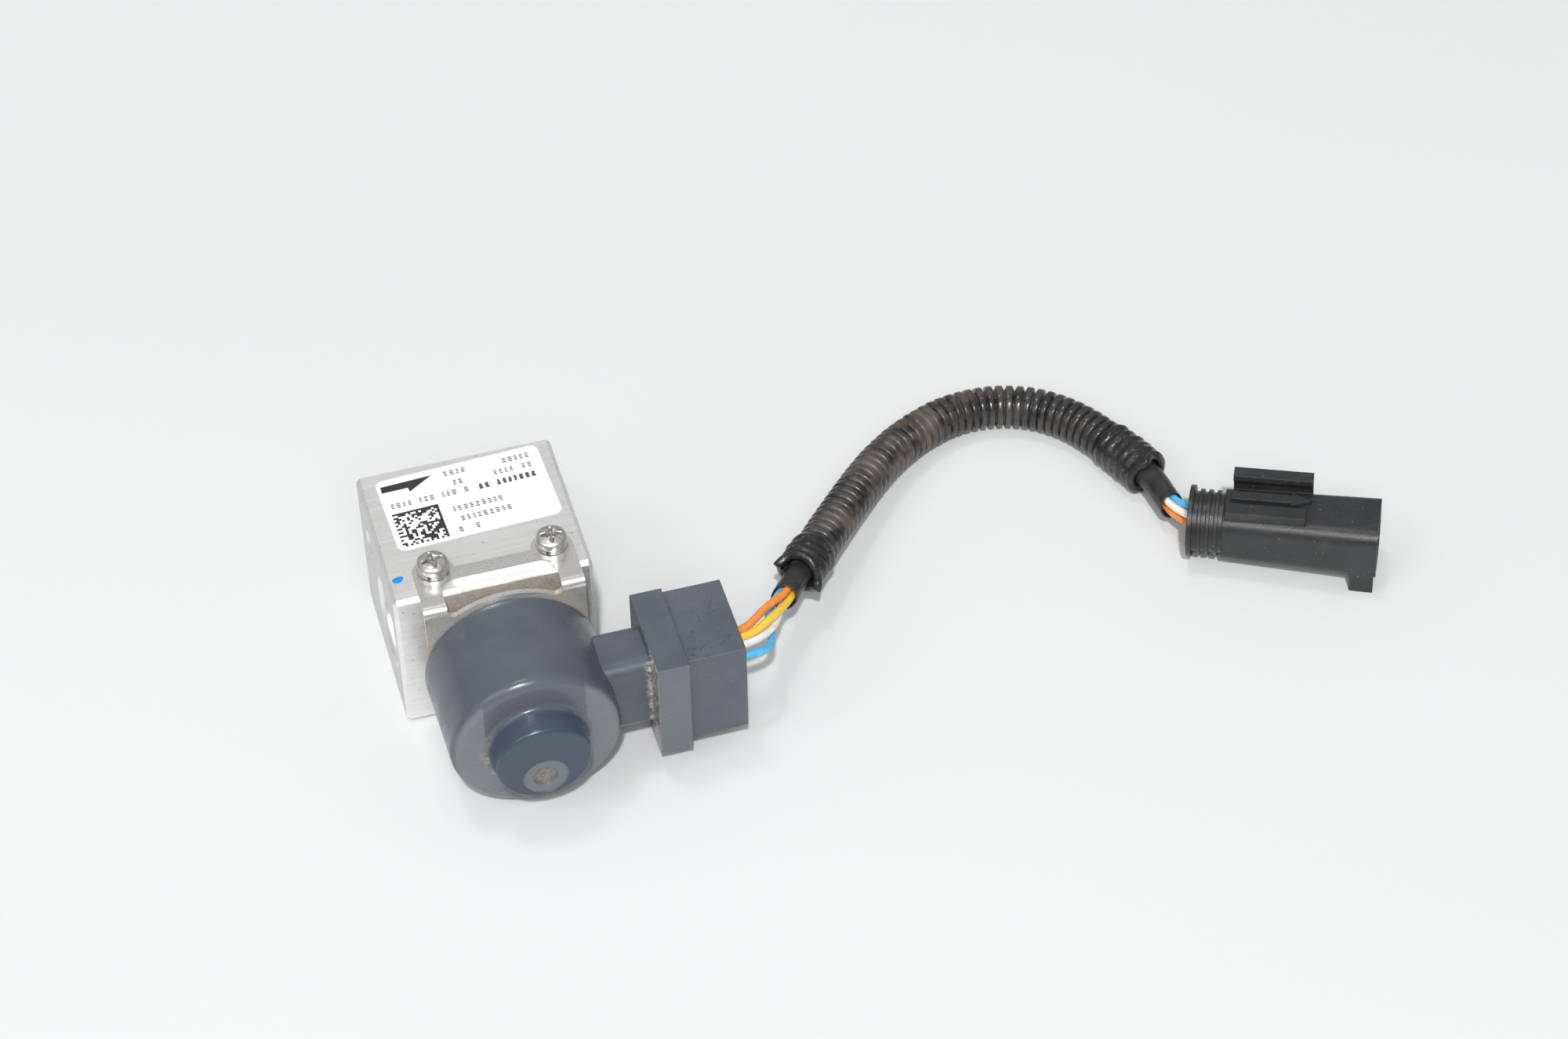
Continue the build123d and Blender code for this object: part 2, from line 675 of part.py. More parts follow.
def bundle_points(angle, swap_turn, swap_step):
    """One wire's points along the bundle, on a circle that turns evenly round the centre line."""
    points = []
    last = len(BUNDLE_ROUTE) - 1
    for index, centre in enumerate(BUNDLE_ROUTE):
        before = Vector(BUNDLE_ROUTE[max(index - 1, 0)])
        after = Vector(BUNDLE_ROUTE[min(index + 1, last)])
        along = (after - before).normalized()
        right = along.cross(Vector(0, 0, 1)).normalized()
        up = right.cross(along)
        share = min(max((index - SWAP_FIRST) / (SWAP_LAST - SWAP_FIRST), 0), 1)
        turn = radians(angle + BUNDLE_TWIST * index / last + swap_turn * share**2 * (3 - 2 * share))
        reach = BUNDLE_R + swap_step * sin(pi * share)
        points.append(Vector(centre) + (right * cos(turn) + up * sin(turn)) * reach)
    return points


def plug_points(end_angle):
    """One wire's points inside the plug, where the bundle's right is the plug's front."""
    turn = radians(end_angle)
    points = []
    for along, aside, spread in WIRE_ENTRY:
        local = (aside - spread * cos(turn), spread * sin(turn), along)
        points.append(plug_plane.from_local_coords(local))
    return points


def corner_radii(points):
    """For each corner, an arc as large as its two runs allow."""
    radii = []
    for before, corner, after in zip(points, points[1:], points[2:]):
        run_in = Vector(corner) - Vector(before)
        run_out = Vector(after) - Vector(corner)
        half_turn = radians(run_in.get_angle(run_out)) / 2
        radii.append(ARC_SHARE * min(run_in.length, run_out.length) / tan(half_turn))
    return radii


def tube(name, points, outer_r, bore_r=0.0):
    """A round tube or rod along straight runs joined by tangent arcs."""
    radii = corner_radii(points)
    with BuildPart() as piece:
        with BuildLine() as path:
            FilletPolyline(*points, radius=radii)
        with BuildSketch(path.line ^ 0) as section:
            Circle(outer_r)
            if bore_r:
                Circle(bore_r, mode=Mode.SUBTRACT)
        sweep()
    length = path.wires()[0].length
    share = piece.part.volume / (section.sketch.area * length)
    tightest = min(radii) / (2 * outer_r)
    print(f"{name}: length {length:.1f}, radii {[round(r, 1) for r in radii]}")
    print(f"  tightest {tightest:.1f} diameters, volume over section times length {share:.4f}")
    return piece


def towards(start, end, distance):
    """The point at a distance from start on the way to end."""
    return Vector(start) + (Vector(end) - Vector(start)).normalized() * distance


# The four wires, one piece from the potting to the plug's terminals
wires = {}
for wire_name, (exit_y, free_points, angle, swap_turn, swap_step) in WIRES.items():
    route = [Vector(filling_far, exit_y, COLLAR_Z), *map(Vector, free_points)]
    route += bundle_points(angle, swap_turn, swap_step)
    route += plug_points(angle + BUNDLE_TWIST + swap_turn)
    wires[wire_name] = tube(wire_name, route, WIRE_R)

# The hose, the sleeves that reach into it and the tape over its ends
conduit_route = BUNDLE_ROUTE[CONDUIT_FIRST : CONDUIT_LAST + 1]
conduit = tube("conduit", conduit_route, CONDUIT_R, CONDUIT_BORE_R)
box_insert = towards(conduit_route[0], conduit_route[1], SLEEVE_INSERT)
box_sleeve_route = [*BUNDLE_ROUTE[: CONDUIT_FIRST + 1], box_insert]
sleeve_box_end = tube("sleeve_box_end", box_sleeve_route, SLEEVE_R, SLEEVE_BORE_R)
plug_insert = towards(conduit_route[-1], conduit_route[-2], ARC_SHARE * SLEEVE_INSERT)
plug_sleeve_route = [plug_insert, *BUNDLE_ROUTE[CONDUIT_LAST:]]
sleeve_plug_end = tube("sleeve_plug_end", plug_sleeve_route, SLEEVE_R, SLEEVE_BORE_R)


def end_tape(mouth, inner_point, length, sleeve):
    """Tape over a straight end of the hose, closed down to the sleeve just past its mouth."""
    inwards = (Vector(inner_point) - Vector(mouth)).normalized()
    start = Plane(origin=Vector(mouth) - inwards * TAPE_END, z_dir=inwards)
    with BuildPart() as tape:
        with BuildSketch(start):
            Circle(TAPE_R)
        extrude(amount=TAPE_END + length)
        with BuildSketch(start.offset(TAPE_END)):
            Circle(CONDUIT_R)
        extrude(amount=length, mode=Mode.SUBTRACT)
        with BuildSketch(start):
            Circle((SLEEVE_R + SLEEVE_BORE_R) / 2)
        extrude(amount=TAPE_END, mode=Mode.SUBTRACT)
        add(sleeve.part, mode=Mode.SUBTRACT)
    return tape


tape_box_end = end_tape(conduit_route[0], conduit_route[1], TAPE_LENGTH, sleeve_box_end)
tape_plug_end = end_tape(conduit_route[-1], conduit_route[-2], ARC_SHARE * TAPE_LENGTH, sleeve_plug_end)

# The plug's terminals: a round barrel on each wire's end and a blade in the mouth
mouth_floor = PLUG_FAR - MOUTH_DEPTH
with BuildPart() as plug_terminals:
    with BuildSketch(plug_plane.offset(TERMINAL_NEAR)):
        with PolarLocations(TERMINAL_SPREAD, 4, start_angle=45, rotate=False):
            Circle(TERMINAL_R)
    extrude(amount=mouth_floor - TERMINAL_NEAR)
    with BuildSketch(plug_plane.offset(mouth_floor)):
        with PolarLocations(TERMINAL_SPREAD, 4, start_angle=45, rotate=False):
            Rectangle(BLADE_W, BLADE_T)
    extrude(amount=BLADE_FAR - mouth_floor)

# The ribbed seal at the plug's rear
with BuildPart() as plug_rear_seal:
    with BuildSketch(plug_turning):
        ring(0, SEAL_FLANGE_R, 0, SEAL_FLANGE_THICK)
        ring(0, SEAL_R, SEAL_FLANGE_THICK, SEAL_LENGTH)
        for rib in SEAL_RIBS:
            ring(0, SEAL_RIB_R, rib - SEAL_RIB_W / 2, rib + SEAL_RIB_W / 2)
        ring(0, SEAL_SPIGOT_R, SEAL_LENGTH, SEAL_SPIGOT_END)
        ring(0, SEAL_BORE_R, 0, SEAL_WEB_NEAR, mode=Mode.SUBTRACT)
    revolve(axis=plug_axis)
    with BuildSketch(plug_plane.offset(SEAL_WEB_NEAR)):
        with PolarLocations(TERMINAL_SPREAD, 4, start_angle=45):
            Circle(WIRE_R)
    extrude(amount=TERMINAL_NEAR - SEAL_WEB_NEAR, mode=Mode.SUBTRACT)
    add(plug_terminals.part, mode=Mode.SUBTRACT)

# The plug's body: a tapering box with a deep mouth, guide rails on top and a foot under the mouth
with BuildPart() as plug_housing:
    near_centre = PLUG_TOP - PLUG_NEAR_H / 2
    far_centre = PLUG_TOP - PLUG_FAR_H / 2
    with BuildSketch(plug_plane.offset(SEAL_LENGTH)):
        with Locations((0, near_centre)):
            RectangleRounded(PLUG_NEAR_W, PLUG_NEAR_H, PLUG_CORNER)
    with BuildSketch(plug_plane.offset(PLUG_FAR)):
        with Locations((0, far_centre)):
            RectangleRounded(PLUG_FAR_W, PLUG_FAR_H, PLUG_CORNER)
    loft()
    with BuildSketch(plug_plane.offset(PLATFORM_NEAR)):
        with Locations((PLATFORM_V, 0)):
            Rectangle(PLATFORM_W, PLATFORM_TOP, align=(Align.CENTER, Align.MIN))
    extrude(amount=PLATFORM_FAR - PLATFORM_NEAR)
    with BuildSketch(plug_plane.offset(RAIL_NEAR)):
        with Locations((RAIL_OUTER, 0)):
            Rectangle(RAIL_WALL, RAIL_TOP, align=(Align.MAX, Align.MIN))
        with Locations((RAIL_OUTER, RAIL_TOP)):
            Rectangle(RAIL_HOOK_W, RAIL_HOOK_H, align=(Align.MAX, Align.MAX))
    extrude(amount=RAIL_FAR - RAIL_NEAR)
    with BuildSketch(plug_plane.offset(RAIL_NEAR)):
        with Locations((TONGUE_V, 0)):
            Rectangle(TONGUE_W, TONGUE_TOP, align=(Align.CENTER, Align.MIN))
    extrude(amount=RAIL_FAR - ARROW_LENGTH - RAIL_NEAR)
    tongue_plane = Plane(
        origin=plug_plane.from_local_coords((TONGUE_V, 0, RAIL_FAR - ARROW_LENGTH)),
        x_dir=plug_side_dir,
        z_dir=plug_plane.y_dir,
    )
    with BuildSketch(tongue_plane):
        with BuildLine():
            Polyline((-ARROW_W / 2, 0), (ARROW_W / 2, 0), (0, -ARROW_LENGTH), close=True)
        make_face()
    extrude(amount=TONGUE_TOP)
    with BuildSketch(plug_plane.offset(FOOT_NEAR)):
        with Locations((-PLUG_FAR_W / 2 + PLUG_CORNER / 2, PLUG_TOP - PLUG_FAR_H)):
            Rectangle(FOOT_W, 2 * FOOT_DROP)
    extrude(amount=FOOT_LENGTH)
    with BuildSketch(plug_plane.offset(mouth_floor)):
        with Locations((0, far_centre)):
            RectangleRounded(MOUTH_W, MOUTH_H, MOUTH_CORNER)
    extrude(amount=MOUTH_DEPTH, mode=Mode.SUBTRACT)
    with BuildSketch(plug_turning):
        ring(0, SEAL_SPIGOT_R, SEAL_LENGTH, SEAL_SPIGOT_END)
    revolve(axis=plug_axis, mode=Mode.SUBTRACT)
    add(plug_terminals.part, mode=Mode.SUBTRACT)

pieces = {
    "valve_body": valve_body,
    "valve_seat": valve_seat,
    "can_base": can_base,
    "base_o_ring": base_o_ring,
    "guide_bush": guide_bush,
    "stop_ring": stop_ring,
    "valve_needle": valve_needle,
    "needle_spring": needle_spring,
    "needle_clip": needle_clip,
    "rotor_hub": rotor_hub,
    "rotor_magnet": rotor_magnet,
    "rotor_can": rotor_can,
    "yoke_rear_cup": yoke_rear_cup,
    "yoke_rear_plate": yoke_rear_plate,
    "yoke_front_plate": yoke_front_plate,
    "yoke_front_cup": yoke_front_cup,
    "bobbin_rear": bobbin_rear,
    "bobbin_front": bobbin_front,
    "winding_rear": winding_rear,
    "winding_front": winding_front,
    "coil_housing": coil_housing,
    "contact_pins": contact_pins,
    "terminal_box": terminal_box,
    "potting": potting,
    "bracket": bracket,
    "bracket_screws": bracket_screws,
    "spring_washers": spring_washers,
    "flat_washers": flat_washers,
    "label": label,
    **wires,
    "conduit": conduit,
    "sleeve_box_end": sleeve_box_end,
    "sleeve_plug_end": sleeve_plug_end,
    "tape_box_end": tape_box_end,
    "tape_plug_end": tape_plug_end,
    "plug_rear_seal": plug_rear_seal,
    "plug_housing": plug_housing,
    "plug_terminals": plug_terminals,
}
for name, piece in pieces.items():
    piece.part.label = name
    export_step(piece.part, f"parts/{name}.step")
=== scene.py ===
import math
import random

import bmesh
import bpy
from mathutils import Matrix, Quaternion, Vector, noise


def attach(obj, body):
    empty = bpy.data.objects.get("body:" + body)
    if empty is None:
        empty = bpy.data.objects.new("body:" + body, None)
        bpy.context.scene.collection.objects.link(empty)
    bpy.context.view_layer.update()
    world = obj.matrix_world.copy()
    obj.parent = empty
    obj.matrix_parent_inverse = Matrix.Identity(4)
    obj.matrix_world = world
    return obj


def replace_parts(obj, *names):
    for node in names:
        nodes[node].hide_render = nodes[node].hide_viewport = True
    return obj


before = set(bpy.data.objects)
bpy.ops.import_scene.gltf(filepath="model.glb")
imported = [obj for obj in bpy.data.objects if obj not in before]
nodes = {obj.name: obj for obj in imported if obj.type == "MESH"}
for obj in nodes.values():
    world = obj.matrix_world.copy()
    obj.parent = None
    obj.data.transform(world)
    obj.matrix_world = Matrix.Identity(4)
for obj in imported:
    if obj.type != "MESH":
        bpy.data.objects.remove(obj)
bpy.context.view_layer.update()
MM = 0.001
# The coil's axis runs along Y through this place
AXIS_X = 1.3 * MM
AXIS_Z = 19.3 * MM
COIL_AXIS = (AXIS_X, 0, AXIS_Z)
scene = bpy.context.scene


# Camera at the photograph's view
PHOTO_WIDTH = 2000
FOCAL_LENGTH_IN_PIXELS = 4727
SENSOR_WIDTH = 36.0
CAMERA_PLACE = (-0.0865, -0.5636, 0.6160)
CAMERA_ANGLES = (-15.574, 45.679, -0.96)


def place_camera():
    azimuth, elevation, roll = (math.radians(angle) for angle in CAMERA_ANGLES)
    data = bpy.data.cameras.new("camera")
    data.sensor_width = SENSOR_WIDTH
    data.lens = FOCAL_LENGTH_IN_PIXELS / PHOTO_WIDTH * SENSOR_WIDTH
    data.clip_start, data.clip_end = 0.05, 20.0
    camera = bpy.data.objects.new("camera", data)
    scene.collection.objects.link(camera)
    level = math.cos(elevation)
    back = Vector((math.sin(azimuth) * level, -math.cos(azimuth) * level, math.sin(elevation)))
    camera.rotation_mode = "QUATERNION"
    camera.rotation_quaternion = (-back).to_track_quat("-Z", "Y") @ Quaternion((0, 0, 1), roll)
    camera.location = CAMERA_PLACE
    scene.camera = camera


place_camera()


# Materials
class Nodes:
    """A material's node tree, with short calls for the nodes it needs."""

    def __init__(self, name):
        self.material = bpy.data.materials.new(name)
        self.material.use_nodes = True
        self.tree = self.material.node_tree
        self.shader = self.tree.nodes["Principled BSDF"]
        self.coordinates = self.tree.nodes.new("ShaderNodeTexCoord")
        self.place = self.coordinates.outputs["Object"]

    def give(self, socket, value):
        """Link a socket to a node's output, or set it to a number, a vector or a colour."""
        if hasattr(value, "is_linked"):
            self.tree.links.new(value, socket)
        elif socket.type == "RGBA":
            socket.default_value = (*value, 1)
        else:
            socket.default_value = value

    def add(self, kind, inputs, output):
        """A new node with the named inputs given, of which one output comes back."""
        node = self.tree.nodes.new(kind)
        for name, value in inputs.items():
            self.give(node.inputs[name], value)
        return node.outputs[output]

    def scaled(self, scale, rotation=(0, 0, 0)):
        inputs = {"Vector": self.place, "Scale": scale, "Rotation": rotation}
        return self.add("ShaderNodeMapping", inputs, "Vector")

    def noise(self, scale, detail=4.0, roughness=0.55, vector=None, distortion=0.0):
        inputs = {
            "Vector": vector or self.place,
            "Scale": scale,
            "Detail": detail,
            "Roughness": roughness,
            "Distortion": distortion,
        }
        return self.add("ShaderNodeTexNoise", inputs, "Fac")

    def ramp(self, value, stops):
        """A value turned into a shade, a number or a colour, by its stops."""
        node = self.tree.nodes.new("ShaderNodeValToRGB")
        elements = node.color_ramp.elements
        while len(elements) < len(stops):
            elements.new(0.5)
        for element, (position, shade) in zip(elements, stops):
            element.position = position
            element.color = (*shade, 1) if isinstance(shade, tuple) else (shade, shade, shade, 1)
        self.give(node.inputs["Fac"], value)
        return node.outputs["Color"]

    def mix(self, share, a, b):
        """Two colours mixed: sockets 0, 6 and 7 are the share and the colours."""
        node = self.tree.nodes.new("ShaderNodeMix")
        node.data_type = "RGBA"
        for index, value in ((0, share), (6, a), (7, b)):
            self.give(node.inputs[index], value)
        return node.outputs[2]

    def maths(self, operation, a, b=0.0, clamp=False):
        node = self.tree.nodes.new("ShaderNodeMath")
        node.operation = operation
        node.use_clamp = clamp
        self.give(node.inputs[0], a)
        self.give(node.inputs[1], b)
        return node.outputs[0]

    def vector_maths(self, operation, a, b=(0, 0, 0)):
        node = self.tree.nodes.new("ShaderNodeVectorMath")
        node.operation = operation
        self.give(node.inputs[0], a)
        self.give(node.inputs[1], b)
        return node.outputs

    def axis(self, letter):
        """One component of the place, in metres."""
        return self.add("ShaderNodeSeparateXYZ", {"Vector": self.place}, letter)

    def depth(self):
        """How far a place is towards the coil's side, in metres."""
        return self.maths("MULTIPLY", self.axis("Y"), -1.0)

    def facing(self, letter):
        """One component of the surface's own direction."""
        direction = self.coordinates.outputs["Normal"]
        return self.add("ShaderNodeSeparateXYZ", {"Vector": direction}, letter)

    def rise(self, value, low, high):
        """0 below one value and 1 above another, with a straight run between."""
        inputs = {"Value": value, "From Min": low, "From Max": high}
        return self.add("ShaderNodeMapRange", inputs, "Result")

    def fall(self, value, low, high):
        return self.maths("SUBTRACT", 1.0, self.rise(value, low, high))

    def all_of(self, *masks):
        result = masks[0]
        for mask in masks[1:]:
            result = self.maths("MULTIPLY", result, mask)
        return result

    def attribute(self, name):
        node = self.tree.nodes.new("ShaderNodeAttribute")
        node.attribute_name = name
        return node.outputs["Fac"]

    def reach(self, point):
        """Distance from the line along Y through a point."""
        away = self.vector_maths("SUBTRACT", self.place, point)[0]
        flat = self.vector_maths("MULTIPLY", away, (1, 0, 1))[0]
        return self.vector_maths("LENGTH", flat)["Value"]

    def bump(self, height, distance, strength, edge=0.0):
        """Fine relief, with the sharp edges eased by a small radius where one is given."""
        inputs = {"Height": height, "Distance": distance, "Strength": strength}
        if edge:
            eased = self.tree.nodes.new("ShaderNodeBevel")
            eased.samples = 6
            eased.inputs["Radius"].default_value = edge
            inputs["Normal"] = eased.outputs["Normal"]
        relief = self.add("ShaderNodeBump", inputs, "Normal")
        self.give(self.shader.inputs["Normal"], relief)

    def colour(self, value):
        self.give(self.shader.inputs["Base Color"], value)

    def roughness(self, value):
        self.give(self.shader.inputs["Roughness"], value)

    def metal(self, value):
        self.give(self.shader.inputs["Metallic"], value)

    def specular(self, value):
        self.shader.inputs["Specular IOR Level"].default_value = value


# The soft edges of the masks below, from 0 to 1, in metres. Depths are towards the coil's side,
# and reaches and radii are from the coil's axis or from the mark on its nose.
BLOCK_FRONT_DEPTH = (0.0196, 0.0201)
BLOCK_DUST_REACH = (0.0195, 0.0225)
BLOCK_DUST_BOTTOM = (0.024, 0.029)
BRACKET_DUST_REACH = (0.0195, 0.0245)
BRACKET_DUST_TOP = (0.0375, 0.0388)
COIL_FRONT_DEPTH = (0.0497, 0.0505)
RING_FACE_REACH = (0.0113, 0.0122)
SECTOR_HALF_WIDTH = (0.0108, 0.0112)
SECTOR_BOTTOM = (0.0215, 0.0225)
NOSE_DEPTH = (0.0512, 0.0525)
NOSE_REACH = (0.0111, 0.0116)
NOSE_TIP_DEPTH = (0.0555, 0.0561)
NOSE_MARK = (AXIS_X, 0, AXIS_Z - 0.0042)
MARK_RADIUS = (0.0049, 0.0051)
PIT_RADIUS = (0.0026, 0.0028)
CREVICE_INNER_REACH = (0.0100, 0.0112)
CREVICE_OUTER_REACH = (0.0116, 0.0132)
CREVICE_RIGHT = (0.0, 0.006)
CREVICE_TOP = (0.020, 0.026)
NECK_END_LEFT = (0.0268, 0.0278)
NECK_END_RIGHT = (0.0282, 0.0284)
NECK_END_DEPTH = (0.0425, 0.0435)


def machined_aluminium():
    """Milled lines along X, darker sides, and dirt on the front face behind the coil."""
    m = Nodes("machined_aluminium")
    streaks = m.noise(1.0, 5, 0.7, m.scaled((22, 1900, 1900)))
    broad = m.noise(1.0, 3, 0.6, m.scaled((8, 240, 240)))
    cloud = m.noise(70, 4, 0.6)
    specks = m.noise(1100, 2, 0.5)
    tone = m.ramp(streaks, [(0.30, (0.80, 0.80, 0.785)), (0.70, (0.95, 0.95, 0.935))])
    tone = m.mix(m.ramp(broad, [(0.40, 0.0), (0.75, 0.35)]), tone, (0.70, 0.70, 0.68))
    tone = m.mix(m.ramp(specks, [(0.68, 0.0), (0.75, 0.75)]), tone, (0.30, 0.27, 0.23))
    sides = m.rise(m.maths("ABSOLUTE", m.facing("X")), 0.8, 0.95)
    tone = m.mix(m.maths("MULTIPLY", sides, 0.8), tone, (0.50, 0.50, 0.48))
    behind_coil = m.all_of(
        m.rise(m.depth(), *BLOCK_FRONT_DEPTH),
        m.fall(m.reach(COIL_AXIS), *BLOCK_DUST_REACH),
        m.rise(m.axis("Z"), *BLOCK_DUST_BOTTOM),
    )
    dust = m.all_of(behind_coil, m.ramp(cloud, [(0.30, 0.45), (0.60, 1.0)]))
    thin_dust = m.maths("MULTIPLY", m.ramp(cloud, [(0.60, 0.0), (0.85, 1.0)]), 0.15)
    dust = m.maths("MAXIMUM", dust, thin_dust)
    fine_dirt = m.ramp(
        m.noise(2300, 3, 0.6), [(0.35, (0.50, 0.45, 0.37)), (0.62, (0.30, 0.25, 0.19))]
    )
    m.colour(m.mix(dust, tone, fine_dirt))
    m.metal(m.ramp(dust, [(0.0, 0.68), (1.0, 0.15)]))
    m.roughness(m.mix(dust, m.ramp(streaks, [(0.2, 0.30), (0.8, 0.46)]), (0.75, 0.75, 0.75)))
    m.bump(streaks, 0.00002, 0.3, edge=0.0002)
    return m.material


def rolled_steel():
    """Sheet with a faint grain, dirty where it stands close round the coil."""
    m = Nodes("rolled_steel")
    grain = m.noise(1.0, 5, 0.7, m.scaled((60, 700, 700)))
    smudge = m.noise(160, 4)
    specks = m.noise(1700, 3, 0.6)
    near_coil = m.fall(m.reach(COIL_AXIS), *BRACKET_DUST_REACH)
    dusty = m.all_of(near_coil, m.fall(m.axis("Z"), *BRACKET_DUST_TOP))
    dusty = m.maths("MULTIPLY", dusty, m.ramp(smudge, [(0.30, 0.30), (0.62, 1.0)]))
    tone = m.ramp(grain, [(0.3, (0.80, 0.785, 0.75)), (0.7, (0.92, 0.905, 0.87))])
    tone = m.mix(m.ramp(specks, [(0.58, 0.0), (0.70, 0.55)]), tone, (0.40, 0.36, 0.30))
    tone = m.mix(m.maths("MULTIPLY", dusty, 0.8), tone, (0.36, 0.31, 0.24))
    m.colour(tone)
    m.metal(m.ramp(dusty, [(0.0, 0.85), (1.0, 0.35)]))
    m.roughness(m.mix(dusty, (0.25, 0.25, 0.25), (0.62, 0.62, 0.62)))
    m.bump(grain, 0.00002, 0.25)
    return m.material


def worn_screw():
    """Bright and dull patches, darker the deeper the recess that the mesh marks."""
    m = Nodes("worn_screw")
    patches = m.noise(650, 4, 0.6)
    fine = m.noise(3200, 3, 0.6)
    tone = m.ramp(
        patches,
        [(0.32, (0.42, 0.40, 0.38)), (0.5, (0.62, 0.60, 0.585)), (0.68, (0.86, 0.85, 0.84))],
    )
    recess = m.attribute("recess")
    tone = m.mix(m.ramp(fine, [(0.58, 0.0), (0.70, 0.5)]), tone, (0.26, 0.22, 0.18))
    # The colour is darker the deeper the recess.
    m.colour(m.mix(m.maths("MULTIPLY", recess, 0.4), tone, (0.24, 0.22, 0.20)))
    m.metal(0.85)
    m.roughness(m.ramp(patches, [(0.3, 0.50), (0.7, 0.22)]))
    m.bump(fine, 0.00004, 0.5)
    return m.material


def moulded(name, dark, light, rough, grain, dust):
    """Moulded plastic: a faint mottle, fine grain, lint-like dust and uneven gloss."""
    m = Nodes(name)
    mottle = m.noise(90, 5, 0.6)
    fine = m.noise(2600, 4, 0.6)
    lint = m.noise(1900, 2, 0.5)
    smear = m.noise(1.0, 4, 0.6, m.scaled((40, 220, 120), (0.3, 0.2, 0.6)))
    tone = m.mix(m.ramp(mottle, [(0.3, 0.0), (0.7, 1.0)]), dark, light)
    tone = m.mix(m.ramp(lint, [(0.70, 0.0), (0.77, dust)]), tone, (0.55, 0.53, 0.50))
    tone = m.mix(m.ramp(smear, [(0.58, 0.0), (0.85, dust * 0.3)]), tone, (0.27, 0.26, 0.25))
    m.roughness(m.ramp(smear, [(0.3, rough - 0.05), (0.7, rough + 0.12)]))
    m.bump(fine, grain, 0.7, edge=0.0003)
    return m, tone


def coil_plastic():
    """The coil's plastic, with painted light on its front ring face, lightest outside the sector
    above the nose, and the darker nose that its mould leaves.
    """
    m, tone = moulded(
        "coil_plastic", (0.076, 0.087, 0.107), (0.100, 0.112, 0.135), 0.23, 0.000008, 0.15
    )
    depth, reach = m.depth(), m.reach(COIL_AXIS)
    crumbs = m.ramp(m.noise(1300, 3, 0.6), [(0.42, 0.0), (0.58, 1.0)])

    front = m.rise(depth, *COIL_FRONT_DEPTH)
    off_side = m.maths("ABSOLUTE", m.maths("SUBTRACT", m.axis("X"), AXIS_X))
    sector = m.all_of(
        m.fall(off_side, *SECTOR_HALF_WIDTH), m.rise(m.axis("Z"), *SECTOR_BOTTOM)
    )
    # Painted light: the front ring face is painted lighter, a painted reflection of the bright
    # floor, lightest outside the sector above the nose and less inside it.
    ring = m.all_of(front, m.rise(reach, *RING_FACE_REACH))
    painted_light_ring = m.all_of(ring, m.maths("SUBTRACT", 1.0, sector))
    tone = m.mix(m.maths("MULTIPLY", painted_light_ring, 0.8), tone, (0.190, 0.200, 0.216))
    tone = m.mix(m.all_of(ring, sector), tone, (0.112, 0.122, 0.146))

    nose = m.all_of(m.rise(depth, *NOSE_DEPTH), m.fall(reach, *NOSE_REACH))
    tone = m.mix(m.maths("MULTIPLY", nose, 0.8), tone, (0.040, 0.058, 0.092))
    off_mark = m.reach(NOSE_MARK)
    tip = m.rise(depth, *NOSE_TIP_DEPTH)
    tone = m.mix(m.all_of(tip, m.fall(off_mark, *MARK_RADIUS)), tone, (0.150, 0.163, 0.178))
    speckle = m.ramp(
        m.noise(1800, 3, 0.7), [(0.40, (0.13, 0.125, 0.12)), (0.62, (0.25, 0.235, 0.22))]
    )
    tone = m.mix(m.all_of(tip, m.fall(off_mark, *PIT_RADIUS)), tone, speckle)

    crevice = m.all_of(
        front,
        m.rise(reach, *CREVICE_INNER_REACH),
        m.fall(reach, *CREVICE_OUTER_REACH),
        m.fall(depth, *NOSE_DEPTH),
        m.fall(m.axis("X"), *CREVICE_RIGHT),
        m.fall(m.axis("Z"), *CREVICE_TOP),
    )
    patchy = m.ramp(m.noise(260, 2), [(0.3, 0.2), (0.6, 1.0)])
    tone = m.mix(m.all_of(crevice, crumbs, patchy), tone, (0.42, 0.37, 0.30))
    neck_end = m.all_of(
        m.rise(m.axis("X"), *NECK_END_LEFT),
        m.fall(m.axis("X"), *NECK_END_RIGHT),
        m.rise(depth, *NECK_END_DEPTH),
    )
    tone = m.mix(m.all_of(neck_end, crumbs), tone, (0.46, 0.42, 0.36))
    m.colour(tone)
    return m.material


def box_plastic():
    """The coil's plastic again, with a dark scuff on what faces up."""
    m, tone = moulded(
        "box_plastic", (0.078, 0.089, 0.110), (0.104, 0.116, 0.139), 0.25, 0.000010, 0.25
    )
    patches = m.ramp(m.noise(230, 5, 0.7, distortion=1.5), [(0.56, 0.0), (0.64, 1.0)])
    scuff = m.all_of(patches, m.rise(m.facing("Z"), 0.7, 0.9))
    m.colour(m.mix(m.maths("MULTIPLY", scuff, 0.5), tone, (0.035, 0.040, 0.055)))
    return m.material


def plug_plastic():
    m, tone = moulded(
        "plug_plastic", (0.022, 0.0225, 0.0235), (0.033, 0.034, 0.0355), 0.30, 0.00007, 0.4
    )
    m.colour(tone)
    return m.material


